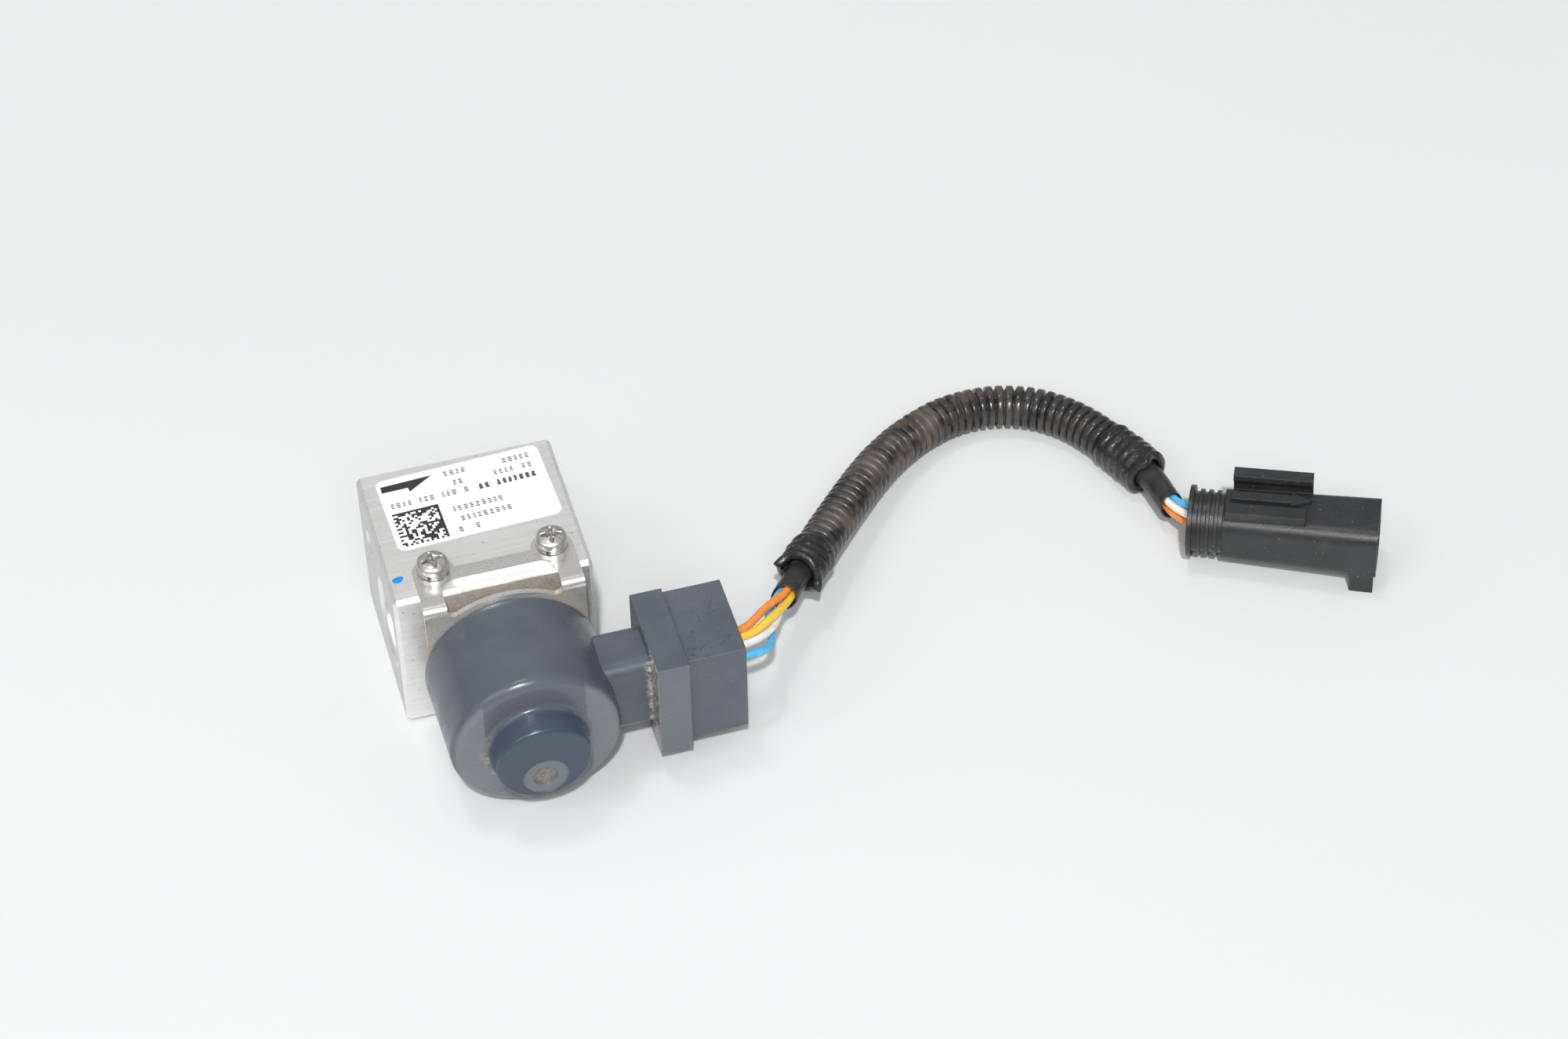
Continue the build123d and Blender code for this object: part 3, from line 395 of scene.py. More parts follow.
def hose_plastic():
    """Black plastic with painted shade in its grooves, dusty in the part that the mesh marks."""
    m = Nodes("hose_plastic")
    groove = m.attribute("groove")
    dusty_part = m.attribute("dusty")
    cloud = m.noise(170, 4, 0.6)
    fine = m.noise(2200, 3, 0.6)
    mottle = m.ramp(cloud, [(0.35, 0.0), (0.65, 1.0)])
    tone = m.mix(mottle, (0.026, 0.026, 0.027), (0.044, 0.043, 0.042))
    # Painted shade: the grooves are painted darker the deeper they are.
    tone = m.mix(m.maths("MULTIPLY", groove, 0.6), tone, (0.008, 0.008, 0.008))
    dust = m.maths("MULTIPLY", m.ramp(cloud, [(0.40, 0.0), (0.64, 1.0)]), dusty_part)
    in_groove = m.maths("ADD", m.maths("MULTIPLY", groove, 0.5), 0.45)
    dust = m.maths("MULTIPLY", dust, in_groove, clamp=True)
    tone = m.mix(dust, tone, (0.180, 0.145, 0.120))
    m.colour(tone)
    m.roughness(m.mix(dust, (0.20, 0.20, 0.20), (0.62, 0.62, 0.62)))
    m.bump(fine, 0.00003, 0.4)
    return m.material


def vinyl_tape():
    """Glossy creased tape with greyer, rubbed patches."""
    m = Nodes("vinyl_tape")
    crease = m.noise(420, 4, 0.65, distortion=1.2)
    cloud = m.noise(140, 4)
    grey = m.ramp(m.noise(700, 4, 0.7, distortion=0.8), [(0.56, 0.0), (0.70, 0.5)])
    mottle = m.ramp(cloud, [(0.4, 0.0), (0.7, 1.0)])
    tone = m.mix(mottle, (0.016, 0.016, 0.017), (0.034, 0.032, 0.030))
    m.colour(m.mix(grey, tone, (0.15, 0.125, 0.11)))
    m.roughness(m.ramp(crease, [(0.3, 0.14), (0.7, 0.34)]))
    m.bump(crease, 0.00026, 0.7)
    return m.material


def sleeve_plastic():
    m = Nodes("sleeve_plastic")
    crease = m.noise(260, 3, 0.5, distortion=0.6)
    mottle = m.ramp(crease, [(0.4, 0.0), (0.7, 1.0)])
    m.colour(m.mix(mottle, (0.020, 0.020, 0.021), (0.040, 0.039, 0.038)))
    m.roughness(m.ramp(crease, [(0.3, 0.26), (0.7, 0.44)]))
    m.bump(crease, 0.00025, 0.5)
    return m.material


def wire_pvc(name, colour, shade):
    m = Nodes(name)
    cloud = m.noise(500, 3)
    m.colour(m.mix(m.ramp(cloud, [(0.35, 0.0), (0.7, 1.0)]), colour, shade))
    m.roughness(m.ramp(cloud, [(0.3, 0.32), (0.7, 0.46)]))
    m.bump(m.noise(1800, 2), 0.00002, 0.4)
    return m.material


def plain(name, colour, rough, metal=0.0, scale=300):
    """A finish for what hardly shows: its colour and gloss vary a little."""
    m = Nodes(name)
    cloud = m.noise(scale, 4)
    dark = tuple(c * 0.75 for c in colour)
    m.colour(m.mix(m.ramp(cloud, [(0.3, 0.0), (0.7, 1.0)]), dark, colour))
    m.metal(metal)
    m.roughness(m.ramp(cloud, [(0.3, rough * 0.85), (0.7, rough * 1.2)]))
    m.bump(cloud, 0.00002, 0.4)
    return m.material


def label_paper():
    m = Nodes("label_paper")
    cloud = m.noise(90, 3)
    mottle = m.ramp(cloud, [(0.4, 0.0), (0.7, 0.6)])
    m.colour(m.mix(mottle, (0.88, 0.88, 0.88), (0.82, 0.82, 0.815)))
    m.roughness(m.ramp(cloud, [(0.3, 0.30), (0.7, 0.42)]))
    m.bump(m.noise(400, 2), 0.00002, 0.3)
    return m.material


MATERIALS = {
    "aluminium": machined_aluminium(),
    "steel": rolled_steel(),
    "screw": worn_screw(),
    "coil": coil_plastic(),
    "box": box_plastic(),
    "plug": plug_plastic(),
    "hose": hose_plastic(),
    "tape": vinyl_tape(),
    "sleeve": sleeve_plastic(),
    "paper": label_paper(),
    "ink": plain("label_ink", (0.035, 0.035, 0.038), 0.45, scale=900),
    "grey_ink": plain("label_grey_ink", (0.07, 0.07, 0.075), 0.45, scale=900),
    "paint": plain("marking_paint", (0.03, 0.27, 0.80), 0.35, scale=700),
    "stainless": plain("stainless_steel", (0.62, 0.61, 0.60), 0.28, 1.0),
    "brass": plain("brass", (0.72, 0.52, 0.26), 0.30, 1.0),
    "tin": plain("tinned_contact", (0.72, 0.71, 0.69), 0.30, 1.0),
    "magnet": plain("ferrite_magnet", (0.05, 0.048, 0.05), 0.55),
    "zinc": plain("zinc_plated_steel", (0.50, 0.51, 0.52), 0.38, 1.0),
    "nylon": plain("bobbin_nylon", (0.62, 0.60, 0.54), 0.50),
    "copper": plain("winding_copper", (0.62, 0.25, 0.12), 0.32, 1.0, scale=900),
    "rubber": plain("seal_rubber", (0.02, 0.02, 0.021), 0.60),
    "resin": plain("potting_resin", (0.025, 0.027, 0.032), 0.35),
    "orange": wire_pvc("wire_orange_pvc", (0.93, 0.33, 0.07), (0.82, 0.24, 0.045)),
    "yellow": wire_pvc("wire_yellow_pvc", (0.97, 0.66, 0.07), (0.93, 0.54, 0.04)),
    "white": wire_pvc("wire_white_pvc", (0.92, 0.91, 0.86), (0.86, 0.82, 0.74)),
    "blue": wire_pvc("wire_blue_pvc", (0.13, 0.56, 0.93), (0.08, 0.43, 0.80)),
}

NODE_FINISH = {
    "valve_body": "aluminium",
    "bracket": "steel",
    "coil_housing": "coil",
    "terminal_box": "box",
    "potting": "resin",
    "label": "paper",
    "plug_housing": "plug",
    "plug_rear_seal": "plug",
    "plug_terminals": "tin",
    "contact_pins": "tin",
    "valve_seat": "brass",
    "can_base": "brass",
    "guide_bush": "brass",
    "base_o_ring": "rubber",
    "stop_ring": "brass",
    "valve_needle": "stainless",
    "needle_spring": "stainless",
    "needle_clip": "stainless",
    "rotor_hub": "brass",
    "rotor_magnet": "magnet",
    "rotor_can": "stainless",
    "yoke_rear_cup": "zinc",
    "yoke_rear_plate": "zinc",
    "yoke_front_plate": "zinc",
    "yoke_front_cup": "zinc",
    "bobbin_rear": "nylon",
    "bobbin_front": "nylon",
    "winding_rear": "copper",
    "winding_front": "copper",
    "bracket_screws": "screw",
    "spring_washers": "screw",
    "flat_washers": "screw",
}


def finish_with(piece, material):
    piece.data.materials.clear()
    piece.data.materials.append(MATERIALS[material])


for node_name, material in NODE_FINISH.items():
    finish_with(nodes[node_name], material)


# The lead. Its points and numbers are those of the CAD source, in millimetres and degrees, but
# for the white and the blue wire's free points, which lie closer to the photograph here.
BUNDLE_ROUTE = [
    (64.4, -21.0, 14.5),
    (70.4, -13.2, 13.0),
    (82.0, 0.8, 10.9),
    (94.6, 15.3, 8.4),
    (103.0, 23.4, 6.8),
    (111.4, 29.1, 5.7),
    (120.8, 33.0, 5.1),
    (131.3, 33.2, 5.05),
    (141.1, 29.4, 5.05),
    (148.4, 22.6, 5.05),
    (153.1, 14.3, 5.05),
    (156.6, 6.6, 5.3),
    (158.6, 0.7, 5.5),
    (159.6, -5.7, 5.9),
    (160.0, -11.9, 6.5),
]
CONDUIT_FIRST = 1
CONDUIT_LAST = 12
WIRE_R = 0.9
BUNDLE_R = 1.4
BUNDLE_TWIST = -120.0
# The white and the blue wire swap places between these two of the route's points
SWAP_FIRST = 3
SWAP_LAST = 7
# Where the wires leave the terminal box's filling
FILLING_FAR = 47.3
WIRE_EXIT_Z = 19.1
# Each wire's exit Y, its points up to the bundle, its angle in the bundle, and its swap's turn
# and step outwards
WIRES = {
    "orange": (-32.2, [(52.4, -32.2, 19.1), (58.4, -26.6, 18.8)], 75.0, 0.0, 0.0),
    "yellow": (-34.2, [(52.9, -34.2, 19.1), (60.2, -28.6, 18.0)], -15.0, 0.0, 0.0),
    "white": (-36.3, [(53.0, -36.3, 19.1), (59.8, -29.8, 15.3)], -105.0, -90.0, -0.55),
    "blue": (
        -39.5,
        [(52.6, -39.5, 19.0), (57.0, -36.6, 16.8), (59.2, -29.8, 13.0), (59.6, -23.8, 13.6)],
        165.0,
        90.0,
        1.45,
    ),
}
# How the wires spread as they enter the plug: along it, aside, and from its middle
WIRE_ENTRY = [(-0.5, 1.6, 1.85), (4.0, 0.0, 2.3), (8.4, 0.0, 2.3)]
PLUG_REAR = Vector((161.4, -19.2, 8.4))
PLUG_YAW, PLUG_PITCH = math.radians(-27.0), math.radians(3.5)
PLUG_LEVEL = math.cos(PLUG_PITCH)
PLUG_ALONG = Vector(
    (PLUG_LEVEL * math.cos(PLUG_YAW), PLUG_LEVEL * math.sin(PLUG_YAW), math.sin(PLUG_PITCH))
)
PLUG_ASIDE = Vector((-math.sin(PLUG_YAW), math.cos(PLUG_YAW), 0))
PLUG_UP = PLUG_ALONG.cross(PLUG_ASIDE)
HOSE_SEGMENTS = 40
HOSE_R = 5.0 * MM
HOSE_BORE_R = 3.7 * MM
HOSE_LINING = 6 * MM
RIB_PITCH = 2.3 * MM
# One rib and one groove: (share of the pitch, share of the groove's depth)
RIB_SHAPE = [
    (0.0, 1.0),
    (0.09, 1.0),
    (0.16, 0.55),
    (0.24, 0.08),
    (0.36, 0.0),
    (0.72, 0.0),
    (0.84, 0.08),
    (0.92, 0.55),
]
GROOVE = 1.05 * MM
SLIT_TURN = math.radians(150)
SLIT_HALF_TURN = 0.09
SLIT_DEPTH = 0.28 * MM
SLEEVE_OUTER_R = 2.9 * MM
SLEEVE_INNER_R = 2.5 * MM
SLEEVE_FLARE = 0.44 * MM
TAPE_R = 5.22 * MM
TAPE_THICKNESS = 0.18 * MM
LOWEST_POINT = 0.05 * MM
# Each flap's turn round the hose, its width in radians and its length
BOX_END_FLAPS = [(-0.35, 0.30, 1.6 * MM), (2.75, 0.28, 2.0 * MM)]
PLUG_END_FLAPS = [(1.3, 0.35, 1.6 * MM)]


def smooth_step(value):
    value = min(max(value, 0.0), 1.0)
    return value * value * (3 - 2 * value)


def wire_route(exit_y, free_points, angle, swap_turn, swap_step):
    """The points of one wire's route, in millimetres."""
    points = [Vector((FILLING_FAR, exit_y, WIRE_EXIT_Z)), *map(Vector, free_points)]
    last = len(BUNDLE_ROUTE) - 1
    for index, centre in enumerate(BUNDLE_ROUTE):
        before = Vector(BUNDLE_ROUTE[max(index - 1, 0)])
        after = Vector(BUNDLE_ROUTE[min(index + 1, last)])
        along = (after - before).normalized()
        right = along.cross(Vector((0, 0, 1))).normalized()
        up = right.cross(along)
        share = min(max((index - SWAP_FIRST) / (SWAP_LAST - SWAP_FIRST), 0), 1)
        twist = BUNDLE_TWIST * index / last
        turn = math.radians(angle + twist + swap_turn * smooth_step(share))
        reach = BUNDLE_R + swap_step * math.sin(math.pi * share)
        points.append(Vector(centre) + (right * math.cos(turn) + up * math.sin(turn)) * reach)
    turn = math.radians(angle + BUNDLE_TWIST + swap_turn)
    for along, aside, spread in WIRE_ENTRY:
        side = PLUG_ASIDE * (aside - spread * math.cos(turn))
        points.append(PLUG_REAR + PLUG_ALONG * along + side + PLUG_UP * spread * math.sin(turn))
    return points


def spline_object(name, points, resolution, radius=0.0):
    """A smooth open curve with the route's points, in millimetres, as its control points."""
    curve = bpy.data.curves.new(name, "CURVE")
    curve.dimensions = "3D"
    curve.resolution_u = resolution
    spline = curve.splines.new("NURBS")
    spline.points.add(len(points) - 1)
    for point, place in zip(spline.points, points):
        point.co = (*(Vector(place) * MM), 1)
    spline.order_u = 3
    spline.use_endpoint_u = True
    curve.bevel_depth = radius * MM
    curve.bevel_resolution = 3
    curve.use_fill_caps = radius > 0
    piece = bpy.data.objects.new(name, curve)
    scene.collection.objects.link(piece)
    return piece


def centreline(points):
    """The points of a route's smooth curve, in metres, and the length up to each."""
    guide = spline_object("guide", points, 24)
    mesh = bpy.data.meshes.new_from_object(guide)
    line = [v.co.copy() for v in mesh.vertices]
    bpy.data.objects.remove(guide)
    bpy.data.meshes.remove(mesh)
    lengths = [0.0]
    for a, b in zip(line, line[1:]):
        lengths.append(lengths[-1] + (b - a).length)
    return line, lengths


def at_length(line, lengths, distance):
    """The point and direction at a distance along a centreline, past its ends too."""
    index = 1
    while index < len(lengths) - 1 and lengths[index] < distance:
        index += 1
    a, b = line[index - 1], line[index]
    direction = (b - a).normalized()
    return a + direction * (distance - lengths[index - 1]), direction


def mesh_piece(name, points, faces, material, **attributes):
    """A smooth piece of the housing. An attribute gives its finish one number for each point."""
    mesh = bpy.data.meshes.new(name)
    mesh.from_pydata(points, [], faces)
    for polygon in mesh.polygons:
        polygon.use_smooth = True
    for key, values in attributes.items():
        mesh.attributes.new(key, "FLOAT", "POINT").data.foreach_set("value", values)
    mesh.update()
    piece = bpy.data.objects.new(name, mesh)
    scene.collection.objects.link(piece)
    finish_with(piece, material)
    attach(piece, "housing")
    return piece


def ring_piece(name, rings, material, **attributes):
    """A piece whose rings of points are each joined to the next."""
    count = len(rings[0])
    faces = []
    for r in range(len(rings) - 1):
        for k in range(count):
            a, b = r * count + k, r * count + (k + 1) % count
            faces.append((a, b, b + count, a + count))
    points = [point for ring in rings for point in ring]
    return mesh_piece(name, points, faces, material, **attributes)


def tube_rings(line, lengths, profile, segments, shape):
    """Rings round a centreline, one for each (distance, radius) of the profile, in metres.

    The shape says each point's radius, and how far it is pushed along the line.
    """
    rings = []
    side = None
    for distance, radius in profile:
        centre, direction = at_length(line, lengths, distance)
        if side is None:
            side = direction.cross(Vector((0, 0, 1))).normalized()
        side = (side - direction * side.dot(direction)).normalized()
        up = side.cross(direction)
        ring = []
        for k in range(segments):
            turn = 2 * math.pi * k / segments
            r, push = shape(distance, radius, turn)
            outwards = side * math.cos(turn) + up * math.sin(turn)
            ring.append(centre + outwards * r + direction * push)
        rings.append(ring)
    return rings


def above_floor(rings):
    """Rings whose points that would sink into the floor lie just above it."""
    for ring in rings:
        for point in ring:
            point.z = max(point.z, LOWEST_POINT)
    return rings


def turn_between(turn, other):
    """The signed angle from one turn to another, at most half a circle."""
    return (turn - other + math.pi) % (2 * math.pi) - math.pi


wire_points = {colour: wire_route(*route) for colour, route in WIRES.items()}
wire_pieces = {}
for colour, points in wire_points.items():
    piece = spline_object(f"lead_wire_{colour}", points, 8, WIRE_R)
    finish_with(piece, colour)
    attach(piece, "housing")
    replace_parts(piece, f"wire_{colour}")
    wire_pieces[colour] = piece

conduit_points = BUNDLE_ROUTE[CONDUIT_FIRST : CONDUIT_LAST + 1]
conduit_line, conduit_lengths = centreline(conduit_points)
CONDUIT_LENGTH = conduit_lengths[-1]


def corrugated_hose():
    """The slit corrugated hose: flat-topped ribs, narrow grooves and the slit along it."""
    ribs = round(CONDUIT_LENGTH / RIB_PITCH)
    pitch = CONDUIT_LENGTH / ribs
    mouth = [
        (HOSE_LINING, HOSE_BORE_R),
        (0.4 * MM, HOSE_BORE_R),
        (0.0, HOSE_BORE_R + 0.2 * MM),
    ]
    far_mouth = [(CONDUIT_LENGTH - distance, radius) for distance, radius in reversed(mouth)]
    ribbed = [((rib + phase) * pitch, share) for rib in range(ribs) for phase, share in RIB_SHAPE]
    outside = [(distance, HOSE_R - GROOVE * share) for distance, share in ribbed]
    profile = [*mouth, *outside, *far_mouth]
    inside = [0.0] * len(mouth)
    groove_shares = [*inside, *(share for _, share in ribbed), *inside]

    def shape(distance, radius, turn):
        if radius <= HOSE_BORE_R + 0.21 * MM:
            return radius, 0.0
        off = abs(turn_between(turn, SLIT_TURN + 0.25 * math.sin(distance * 55)))
        wobble = 0.06 * MM * noise.noise(Vector((distance * 300, turn * 2, 3)))
        return radius - (SLIT_DEPTH if off < SLIT_HALF_TURN else 0.0) + wobble - 0.06 * MM, 0.0

    rings = tube_rings(conduit_line, conduit_lengths, profile, HOSE_SEGMENTS, shape)
    groove, dusty = [], []
    for (distance, _), share in zip(profile, groove_shares):
        off_dusty_part = abs(distance / CONDUIT_LENGTH - 0.36)
        groove += [share] * HOSE_SEGMENTS
        dusty += [max(0.0, min(1.0, 1.5 - off_dusty_part * 3.2)) + 0.12] * HOSE_SEGMENTS
    piece = ring_piece("corrugated_hose", above_floor(rings), "hose", groove=groove, dusty=dusty)
    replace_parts(piece, "conduit")
    return piece


hose = corrugated_hose()


def sleeve(name, points, node):
    """A smooth, crumpled sleeve whose wall shows at its cut mouth, wider in the hose."""
    line, lengths = centreline(points)
    run = lengths[-1] - 0.6 * MM
    profile = [
        (3 * MM, SLEEVE_INNER_R),
        (0.1 * MM, SLEEVE_INNER_R),
        (0.0, SLEEVE_INNER_R + 0.1 * MM),
        (0.0, SLEEVE_OUTER_R - 0.05 * MM),
        (0.3 * MM, SLEEVE_OUTER_R),
    ]
    steps = 16
    for step in range(1, steps + 1):
        share = step / steps
        profile.append((0.3 * MM + run * share, SLEEVE_OUTER_R + SLEEVE_FLARE * share**2))

    def shape(distance, radius, turn):
        spot = Vector((distance * 240, math.cos(turn) * 1.4, math.sin(turn) * 1.4))
        crumple = 0.16 * MM * noise.noise(spot)
        edge = 0.9 * MM * math.sin(turn + 0.6) * max(0.0, 1 - distance / (3 * MM))
        return (radius + crumple if radius > SLEEVE_INNER_R + 0.2 * MM else radius), edge

    piece = ring_piece(name, tube_rings(line, lengths, profile, 36, shape), "sleeve")
    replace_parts(piece, node)
    return piece


def towards(start, end, distance):
    return Vector(start) + (Vector(end) - Vector(start)).normalized() * distance


box_sleeve = sleeve(
    "smooth_sleeve_box_end",
    [*BUNDLE_ROUTE[: CONDUIT_FIRST + 1], towards(conduit_points[0], conduit_points[1], 6.0)],
    "sleeve_box_end",
)
plug_sleeve = sleeve(
    "smooth_sleeve_plug_end",
    [
        *reversed(BUNDLE_ROUTE[CONDUIT_LAST:]),
        towards(conduit_points[-1], conduit_points[-2], 3.6),
    ],
    "sleeve_plug_end",
)


def wound_tape(name, start, end, node, seed, flaps):
    """Tape wound over the hose's end: it dips into the grooves, creases, and closes unevenly."""
    onwards = math.copysign(1, end - start)
    span = abs(end - start)
    steps = 44
    profile = [(start - onwards * 0.25 * MM, 3.6 * MM), (start - onwards * 0.5 * MM, 4.5 * MM)]
    profile += [(start + (end - start) * step / steps, TAPE_R) for step in range(steps + 1)]

    def shape(distance, radius, turn):
        along = abs(distance - start)
        in_grooves = 1 if radius > 5 * MM else 0
        ripple = 0.18 * MM * math.cos(2 * math.pi * distance / RIB_PITCH) * in_grooves
        x, y = math.cos(turn), math.sin(turn)
        crease = 0.30 * MM * noise.noise(Vector((distance * 420, x * 1.7 + seed, y * 1.7)))
        lap = 0.16 * MM * ((turn / (2 * math.pi) + along / (span * 0.45)) % 1.0)
        ragged = 1.1 * MM * noise.noise(Vector((x * 1.3, y * 1.3, seed * 3.1)))
        edge = max(0.0, along / span - 0.85) / 0.15
        at_mouth = max(0.0, 1 - along / (2.4 * MM))
        push = ragged * (edge + at_mouth * 0.7)
        for flap_turn, flap_width, flap_length in flaps:
            off = turn_between(turn, flap_turn)
            flap = math.exp(-((off / flap_width) ** 2)) * at_mouth
            push -= onwards * flap_length * flap
            crease += 0.5 * MM * flap
        return radius + ripple + crease + lap - 0.10 * MM - 0.10 * MM * edge, push

    rings = above_floor(tube_rings(conduit_line, conduit_lengths, profile, 48, shape))
    if end < start:
        rings = [list(reversed(ring)) for ring in rings]
    piece = ring_piece(name, rings, "tape")
    thick = piece.modifiers.new("thickness", "SOLIDIFY")
    thick.thickness = TAPE_THICKNESS
    thick.offset = -1
    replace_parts(piece, node)
    return piece


tape_box = wound_tape("wound_tape_box_end", 0.0, 8.0 * MM, "tape_box_end", 1.7, BOX_END_FLAPS)
tape_plug = wound_tape(
    "wound_tape_plug_end",
    CONDUIT_LENGTH,
    CONDUIT_LENGTH - 13.0 * MM,
    "tape_plug_end",
    4.2,
    PLUG_END_FLAPS,
)

for colour, piece in wire_pieces.items():
    points = wire_points[colour]
    centreline(points)[1][-1]


# The label's generic print, in millimetres from the label's middle
LABEL_TURN = math.radians(2.4)
LABEL_X, LABEL_Y, LABEL_TOP = 0.6, 6.6, 38.3
PRINT_LOW, PRINT_HIGH = -0.01, 0.012
CODE_LEFT, CODE_LOW = -17.3, -10.2
CODE_CELLS = 18
CODE_CELL = 10.4 / CODE_CELLS
# Each line of print: its start, its end, its middle and the height of its strokes
PRINT_LINES = [
    (-3.4, 3.6, 8.7, 0.30),
    (-2.1, 0.4, 5.5, 0.30),
    (-16.9, 1.0, 2.6, 0.30),
    (7.2, 16.3, 5.5, 0.30),
    (10.0, 16.4, 8.5, 0.30),
    (3.0, 16.0, 2.4, 0.52),
    (-4.2, 7.1, -2.5, 0.30),
    (-4.5, 8.5, -5.8, 0.30),
    (-4.5, 0.5, -8.9, 0.30),
]
FLOW_ARROW = [(-17.7, 7.3), (-11.8, 7.2), (-11.7, 5.9), (-6.0, 9.3), (-17.6, 9.2)]


def label_point(u, v, height):
    x = LABEL_X + u * math.cos(LABEL_TURN) - v * math.sin(LABEL_TURN)
    y = LABEL_Y + u * math.sin(LABEL_TURN) + v * math.cos(LABEL_TURN)
    return Vector((x, y, LABEL_TOP + height)) * MM


def print_piece(name, polygons, material):
    """Flat print, a hair above the label: each polygon is a list of label points."""
    form = bmesh.new()
    for polygon in polygons:
        low = [form.verts.new(label_point(u, v, PRINT_LOW)) for u, v in polygon]
        top = [form.verts.new(label_point(u, v, PRINT_HIGH)) for u, v in polygon]
        form.faces.new(top)
        for i in range(len(polygon)):
            j = (i + 1) % len(polygon)
            form.faces.new((low[i], low[j], top[j], top[i]))
    bmesh.ops.recalc_face_normals(form, faces=form.faces)
    mesh = bpy.data.meshes.new(name)
    form.to_mesh(mesh)
    form.free()
    piece = bpy.data.objects.new(name, mesh)
    scene.collection.objects.link(piece)
    finish_with(piece, material)
    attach(piece, "housing")
    return piece


def rectangle(u0, v0, u1, v1):
    return [(u0, v0), (u1, v0), (u1, v1), (u0, v1)]


def code_cells(column, row, columns, rows):
    """A rectangle that covers some of the square code's cells."""
    u, v = CODE_LEFT + column * CODE_CELL, CODE_LOW + row * CODE_CELL
    return rectangle(u, v, u + columns * CODE_CELL, v + rows * CODE_CELL)


def square_code():
    """A block of squares that encodes nothing, with the solid border that such codes have."""
    dice = random.Random(11)
    last = CODE_CELLS - 1
    polygons = [code_cells(0, last, CODE_CELLS, 1), code_cells(last, 0, 1, last)]
    for row in range(last):
        run = None
        for column in range(CODE_CELLS):
            if column == last:
                filled = False
            elif row == 0:
                filled = column % 2 == 1
            elif column == 0:
                filled = row % 2 == 1
            else:
                filled = dice.random() < 0.47
            if filled and run is None:
                run = column
            if not filled and run is not None:
                polygons.append(code_cells(run, row, column - run, 1))
                run = None
    print_piece("label_square_code", polygons, "ink")


def print_lines():
    """Rows of plain dashes where the real label has its lines of print; nothing is written."""
    dice = random.Random(5)
    polygons = []
    for start, end, middle, stroke in PRINT_LINES:
        u = start
        while u < end - 0.6:
            width = 0.75 + 0.3 * dice.random()
            if dice.random() < 0.86:
                for row in (-0.55, 0.0, 0.55):
                    left = u + 0.22 * dice.random()
                    right = u + width - 0.2 * dice.random()
                    v = middle + row
                    polygons.append(rectangle(left, v - stroke / 2, right, v + stroke / 2))
            u += width + 0.42
    print_piece("label_print_lines", polygons, "grey_ink")


square_code()
print_lines()
print_piece("label_flow_arrow", [FLOW_ARROW], "ink")


def paint_dot():
    """The dab of blue paint on the block's top."""
    centre = Vector((-19.5, -13.4, 38.2))
    segments = 28
    rings = []
    for share, height in ((1.0, -0.02), (0.97, 0.05), (0.8, 0.09), (0.4, 0.11), (0.02, 0.11)):
        ring = []
        for k in range(segments):
            turn = 2 * math.pi * k / segments
            wave = 1 + 0.16 * math.sin(2 * turn + 0.6) + 0.07 * math.sin(3 * turn)
            reach = 1.15 * wave * share
            x, y = math.cos(turn) * reach, math.sin(turn) * reach * 0.9
            ring.append((centre + Vector((x, y, height))) * MM)
        rings.append(ring)
    ring_piece("paint_dot", rings, "paint")


paint_dot()


# The bracket's screws, with their worn cross recesses, and the split washers under them.
# Each spot is X, Y and the turn of its recess, in millimetres and radians.
SCREW_SPOTS = [(-11.8, -14.4, 0.16), (14.4, -14.4, -0.12)]
HEAD_R = 3.45
HEAD_BASE = 41.0
HEAD_SEGMENTS = 108
RECESS_DEPTH = 1.45
RECESS_REACH = 2.55
WASHER_R = 2.75
WASHER_STEPS = 70
WASHER_GAP = 0.20
WASHER_RISE = 0.14
WASHER_SECTION = [
    (-0.62, -0.36),
    (-0.54, -0.44),
    (0.54, -0.44),
    (0.62, -0.36),
    (0.62, 0.36),
    (0.54, 0.44),
    (-0.54, 0.44),
    (-0.62, 0.36),
]


def capped_faces(first, rows, count):
    """The faces of one closed form of point rows, whose points start at the given index."""
    faces = []
    for r in range(rows - 1):
        for k in range(count):
            a = first + r * count + k
            b = first + r * count + (k + 1) % count
            faces.append((a, a + count, b + count, b))
    faces.append(tuple(first + k for k in range(count)))
    faces.append(tuple(first + (rows - 1) * count + k for k in reversed(range(count))))
    return faces


def recess_depth(u, v, reach):
    """The depth of the cross recess, which tapers and has rounded lips, at one place."""
    arm = 0.0
    for along, across in ((abs(u), abs(v)), (abs(v), abs(u))):
        taper = 0.72 - 0.12 * along
        inside = smooth_step((taper - across) / 0.42)
        arm = max(arm, inside * smooth_step((RECESS_REACH - along) / 0.9))
    hollow = smooth_step((1.5 - reach) / 1.2)
    return RECESS_DEPTH * max(arm, 0.75 * hollow)


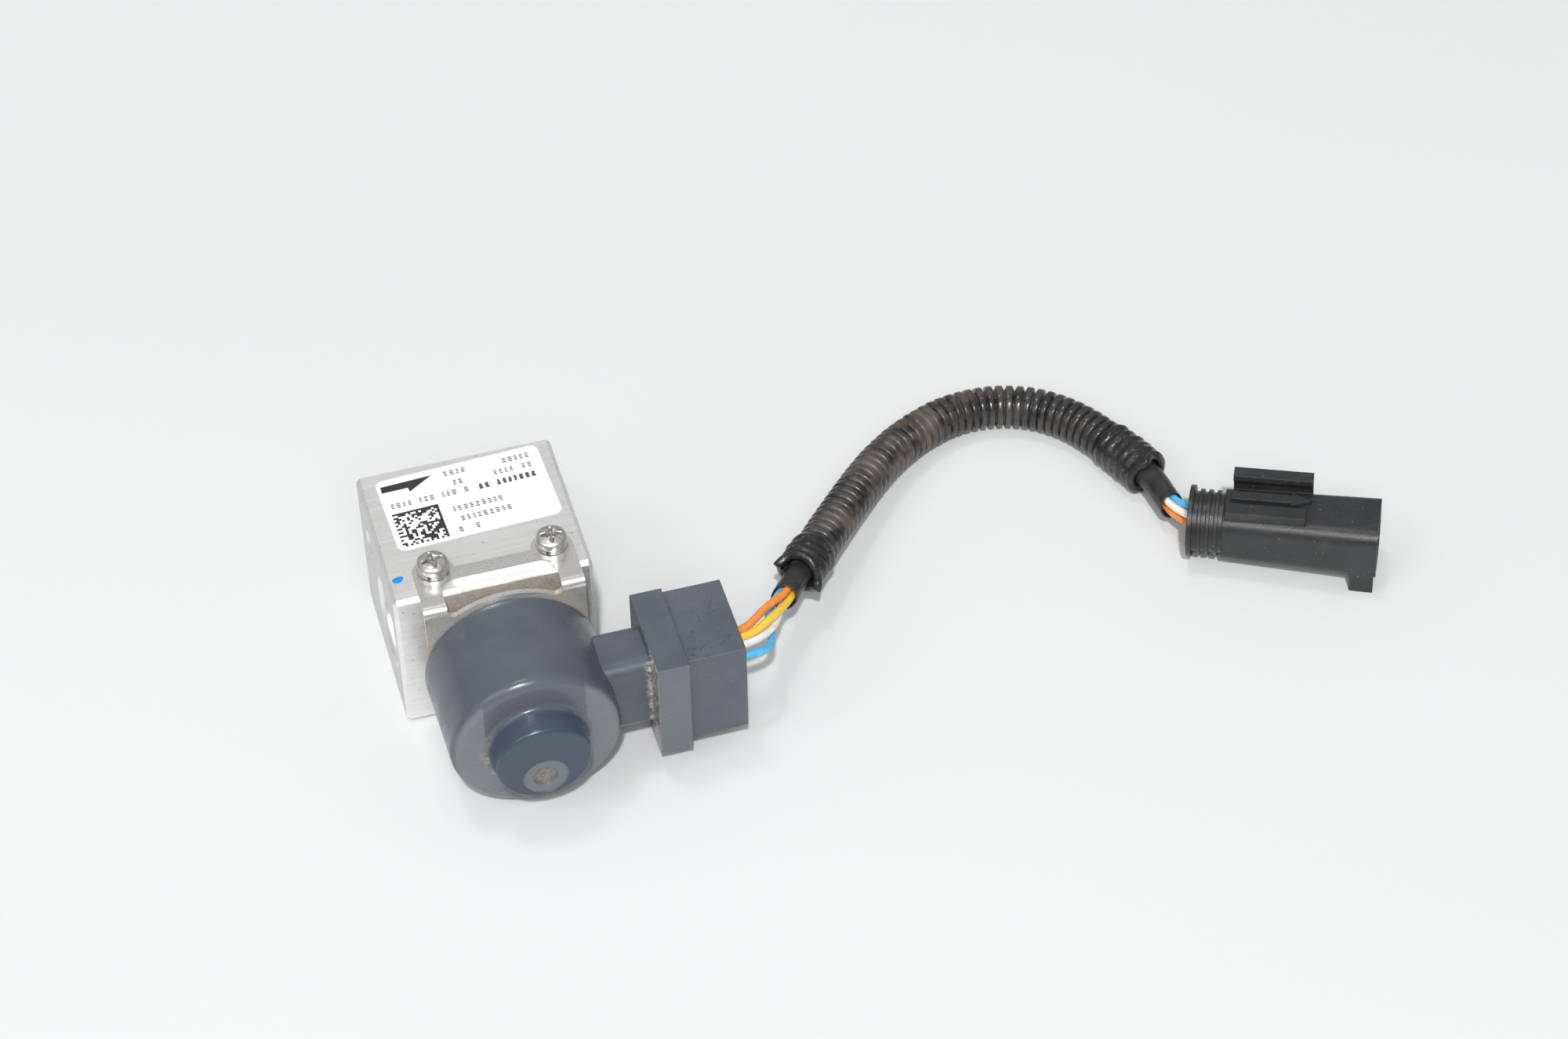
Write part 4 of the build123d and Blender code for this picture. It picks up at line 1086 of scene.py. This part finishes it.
def screw_heads():
    """Pan heads whose cross recess tapers and has rounded, worn lips."""
    top = []
    for reach in (0.02, *(0.1 * i for i in range(1, 34)), 3.38, 3.43, HEAD_R):
        top.append((reach, 1.25 + 1.25 * math.sqrt(max(0.0, 1 - (reach / HEAD_R) ** 2.8))))
    profile = [*top, (HEAD_R, 0.9), (HEAD_R, 0.4), (HEAD_R - 0.05, 0.0), (0.5, 0.0)]
    mesh_points, faces, recess = [], [], []
    for x, y, turned in SCREW_SPOTS:
        faces += capped_faces(len(mesh_points), len(profile), HEAD_SEGMENTS)
        c, s = math.cos(turned), math.sin(turned)
        for index, (reach, height) in enumerate(profile):
            for k in range(HEAD_SEGMENTS):
                turn = 2 * math.pi * k / HEAD_SEGMENTS
                u, v = reach * math.cos(turn), reach * math.sin(turn)
                down = recess_depth(u, v, reach) if index < len(top) else 0.0
                wear = 0.05 * noise.noise(Vector((u * 1.9 + x, v * 1.9, 2))) * (height > 0.5)
                z = HEAD_BASE + height - down + wear
                mesh_points.append(Vector((x + u * c - v * s, y + u * s + v * c, z)) * MM)
                recess.append(min(down / 0.9, 1.0))
    return mesh_piece("worn_screw_heads", mesh_points, faces, "screw", recess=recess)


def split_washers():
    """Spring washers: one rising turn of square wire each, cut at the front."""
    points, faces = [], []
    for x, y, _ in SCREW_SPOTS:
        faces += capped_faces(len(points), WASHER_STEPS + 1, len(WASHER_SECTION))
        for step in range(WASHER_STEPS + 1):
            share = step / WASHER_STEPS
            start = -math.pi / 2 - 0.5 + WASHER_GAP / 2
            turn = start + (2 * math.pi - WASHER_GAP) * share
            for off, up in WASHER_SECTION:
                reach = WASHER_R + off
                z = HEAD_BASE - 0.5 + up + WASHER_RISE * (share - 0.5)
                place = Vector((x + reach * math.cos(turn), y + reach * math.sin(turn), z))
                points.append(place * MM)
    recess = [0.15] * len(points)
    return mesh_piece("split_spring_washers", points, faces, "screw", recess=recess)


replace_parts(screw_heads(), "bracket_screws")
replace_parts(split_washers(), "spring_washers")


# Floor, lights and world
FLOOR_HALF = 6.0


def stage_floor():
    mesh = bpy.data.meshes.new("floor")
    corners = [(-1, -1), (1, -1), (1, 1), (-1, 1)]
    points = [(x * FLOOR_HALF, y * FLOOR_HALF, 0) for x, y in corners]
    mesh.from_pydata(points, [], [(0, 1, 2, 3)])
    floor = bpy.data.objects.new("floor", mesh)
    scene.collection.objects.link(floor)
    m = Nodes("floor")
    cloud = m.noise(3.0, 2)
    m.colour(m.mix(cloud, (0.690, 0.700, 0.702), (0.722, 0.731, 0.734)))
    m.roughness(0.10)
    m.specular(0.08)
    floor.data.materials.append(m.material)


def add_lamp(data, direction):
    """A lamp that shines in a direction."""
    lamp = bpy.data.objects.new(data.name, data)
    scene.collection.objects.link(lamp)
    lamp.rotation_mode = "QUATERNION"
    lamp.rotation_quaternion = Vector(direction).to_track_quat("-Z", "Y")
    return lamp


def area_light(name, location, target, size, power):
    data = bpy.data.lights.new(name, "AREA")
    data.shape = "RECTANGLE"
    data.size, data.size_y = size
    data.energy = power
    add_lamp(data, Vector(target) - Vector(location)).location = location


def sun_light(name, direction, strength, angle):
    data = bpy.data.lights.new(name, "SUN")
    data.energy = strength
    data.angle = math.radians(angle)
    add_lamp(data, direction)


def sky():
    """A grey world, lighter towards the top."""
    world = bpy.data.worlds.new("world")
    world.use_nodes = True
    tree = world.node_tree
    background = tree.nodes["Background"]
    place = tree.nodes.new("ShaderNodeTexCoord")
    split = tree.nodes.new("ShaderNodeSeparateXYZ")
    ramp = tree.nodes.new("ShaderNodeValToRGB")
    low, high = ramp.color_ramp.elements
    low.position, low.color = 0.0, (0.16, 0.162, 0.165, 1)
    high.position, high.color = 0.7, (0.40, 0.404, 0.408, 1)
    tree.links.new(place.outputs["Generated"], split.inputs[0])
    tree.links.new(split.outputs["Z"], ramp.inputs["Fac"])
    tree.links.new(ramp.outputs["Color"], background.inputs["Color"])
    background.inputs["Strength"].default_value = 1.0
    scene.world = world


stage_floor()
sky()
sun_light("key", (0.17, 0.65, -1.0), 1.95, 2.5)
sun_light("top", (0.12, -0.22, -1.0), 0.35, 8)
area_light("softbox_left", (-0.6, -0.3, 0.7), (0.03, 0, 0), (0.5, 0.5), 1.5)
area_light("softbox_front", (-0.12, -0.80, 0.86), (0.06, 0, 0), (0.42, 0.36), 3.4)

scene.view_settings.view_transform = "Standard"
